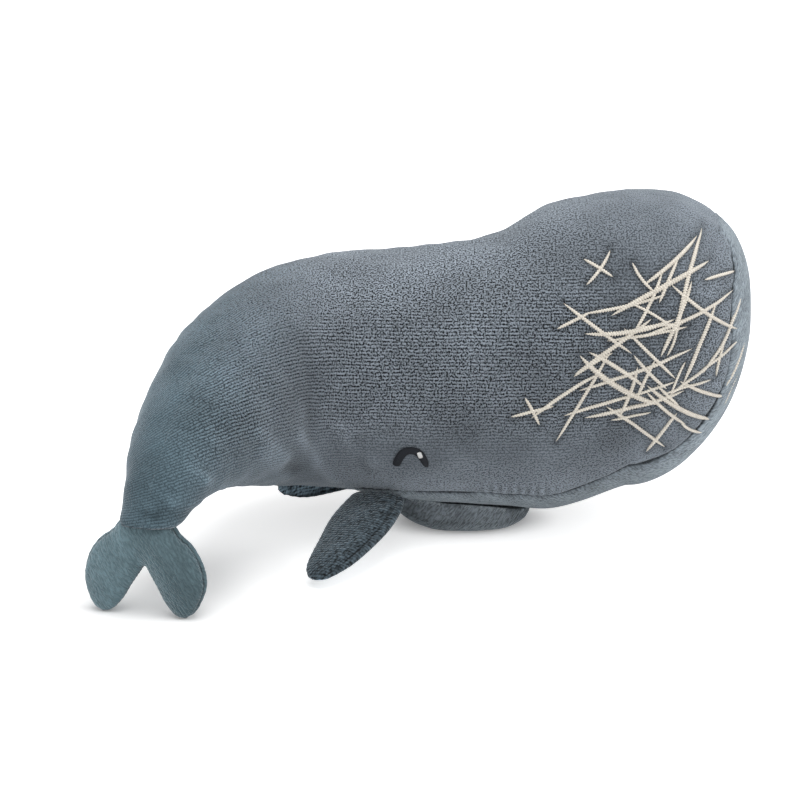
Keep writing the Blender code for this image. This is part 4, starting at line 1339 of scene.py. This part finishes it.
class WHALE_OT_stage(bpy.types.Operator):
    """Lay the floor, and set the lamps, the surroundings and the camera"""

    bl_idname = "whale.stage"
    bl_label = "Studio"

    def execute(self, context):
        stage = context.scene.whale_stage
        context.scene.view_settings.view_transform = "Standard"
        mesh = bpy.data.meshes.new("studio_floor")
        corners = ((-1, -1), (1, -1), (1, 1), (-1, 1))
        mesh.from_pydata([(x * FLOOR_REACH, y * FLOOR_REACH, 0) for x, y in corners], [], [(0, 1, 2, 3)])
        mesh.materials.append(floor_material(stage.floor_colour))
        floor = linked("studio_floor", mesh)
        for name, place, size, power in LAMPS:
            self.lamp(name, place, size, getattr(stage, power))
        world = bpy.data.worlds.new("white_room")
        context.scene.world = world
        world.use_nodes = True
        tree = world.node_tree
        back = tree.nodes["Background"]
        back.inputs["Color"].default_value = (1, 1, 1, 1)
        path = tree.nodes.new("ShaderNodeLightPath")
        seen = tree.nodes.new("ShaderNodeMapRange")
        seen.inputs["To Min"].default_value = stage.ambient
        seen.inputs["To Max"].default_value = 1.0
        tree.links.new(path.outputs["Is Camera Ray"], seen.inputs["Value"])
        tree.links.new(seen.outputs[0], back.inputs["Strength"])
        context.scene.camera = self.camera(stage)
        return {"FINISHED"}

    def lamp(self, name, place, size, power):
        data = bpy.data.lights.new(name, "AREA")
        data.shape = "DISK"
        data.size = size
        data.energy = power
        made = linked(name, data)
        made.location = place
        made.rotation_euler = (made.location - Vector(LAMP_AIM)).to_track_quat("Z", "Y").to_euler()

    def camera(self, stage):
        data = bpy.data.cameras.new("photo_camera")
        data.lens = stage.lens
        data.sensor_width = SENSOR_WIDTH
        made = linked("photo_camera", data)
        tilt = stage.camera_height
        back = Vector((0, -math.cos(tilt), math.sin(tilt)))
        made.location = Vector(CAMERA_AIM) + stage.camera_distance * back
        made.rotation_euler = (math.pi / 2 - tilt, 0, 0)
        return made


def shows_background(g):
    """1 for rays that see the background: the camera's, and those in mirrors and through glass."""
    path = g.tree.nodes.new("ShaderNodeLightPath")
    seen = g.math("MAXIMUM", path.outputs["Is Glossy Ray"], path.outputs["Is Transmission Ray"])
    return g.math("MAXIMUM", seen, path.outputs["Is Camera Ray"])


def floor_material(colour):
    """White floor that keeps the shadow: diffuse, plus a glow for background rays that grows with distance."""
    g = Graph("studio_white")
    place = g.add("ShaderNodeTexCoord", None, 3)
    oval = g.add("ShaderNodeVectorMath", {0: place, 1: JAW_SHADOW_SHAPE}, operation="MULTIPLY")
    jaw = g.ramp(g.distance(oval, (0, 0, 0)), *JAW_GLOW)
    tips = g.ramp(g.distance(place, TIPS_PLACE), *TIPS_GLOW)
    far = g.ramp(g.distance(place, FLOOR_MIDDLE), *FAR_GLOW)
    glow = g.times(shows_background(g), g.plus(g.math("MINIMUM", jaw, tips), far))
    g.join(glow, g.shader.inputs["Emission Strength"])
    return g.fix(Base_Color=(*colour, 1), Roughness=1.0, Specular_IOR_Level=0.0, Emission_Color=(1, 1, 1, 1))


PIECES = (
    WHALE_OT_stage, WHALE_OT_sides, WHALE_OT_strips, WHALE_OT_jaw, WHALE_OT_fins, WHALE_OT_flukes,
    WHALE_OT_eyes, WHALE_OT_scars,
)
SETTINGS = {"whale_cloth": WhaleCloth, "whale_thread": WhaleThread, "whale_stage": WhaleStage}


class WHALE_PT_sidebar(bpy.types.Panel):
    """Lists the whale's settings and pieces"""

    bl_idname = "WHALE_PT_sidebar"
    bl_label = "Plush Whale"
    bl_space_type = "VIEW_3D"
    bl_region_type = "UI"
    bl_category = "Whale"

    def draw(self, context):
        for name, group in SETTINGS.items():
            box = self.layout.box()
            for key in group.__annotations__:
                box.prop(getattr(context.scene, name), key)
        for piece in PIECES:
            self.layout.operator(piece.bl_idname)


CLASSES = (*SETTINGS.values(), *PIECES, WHALE_PT_sidebar)


def register():
    for item in CLASSES:
        bpy.utils.register_class(item)
    for name, group in SETTINGS.items():
        setattr(bpy.types.Scene, name, bpy.props.PointerProperty(type=group))


def unregister():
    for name in SETTINGS:
        delattr(bpy.types.Scene, name)
    for item in reversed(CLASSES):
        bpy.utils.unregister_class(item)


def main():
    register()
    for piece in PIECES:
        group, name = piece.bl_idname.split(".")
        getattr(getattr(bpy.ops, group), name)()


if __name__ == "__main__":
    main()
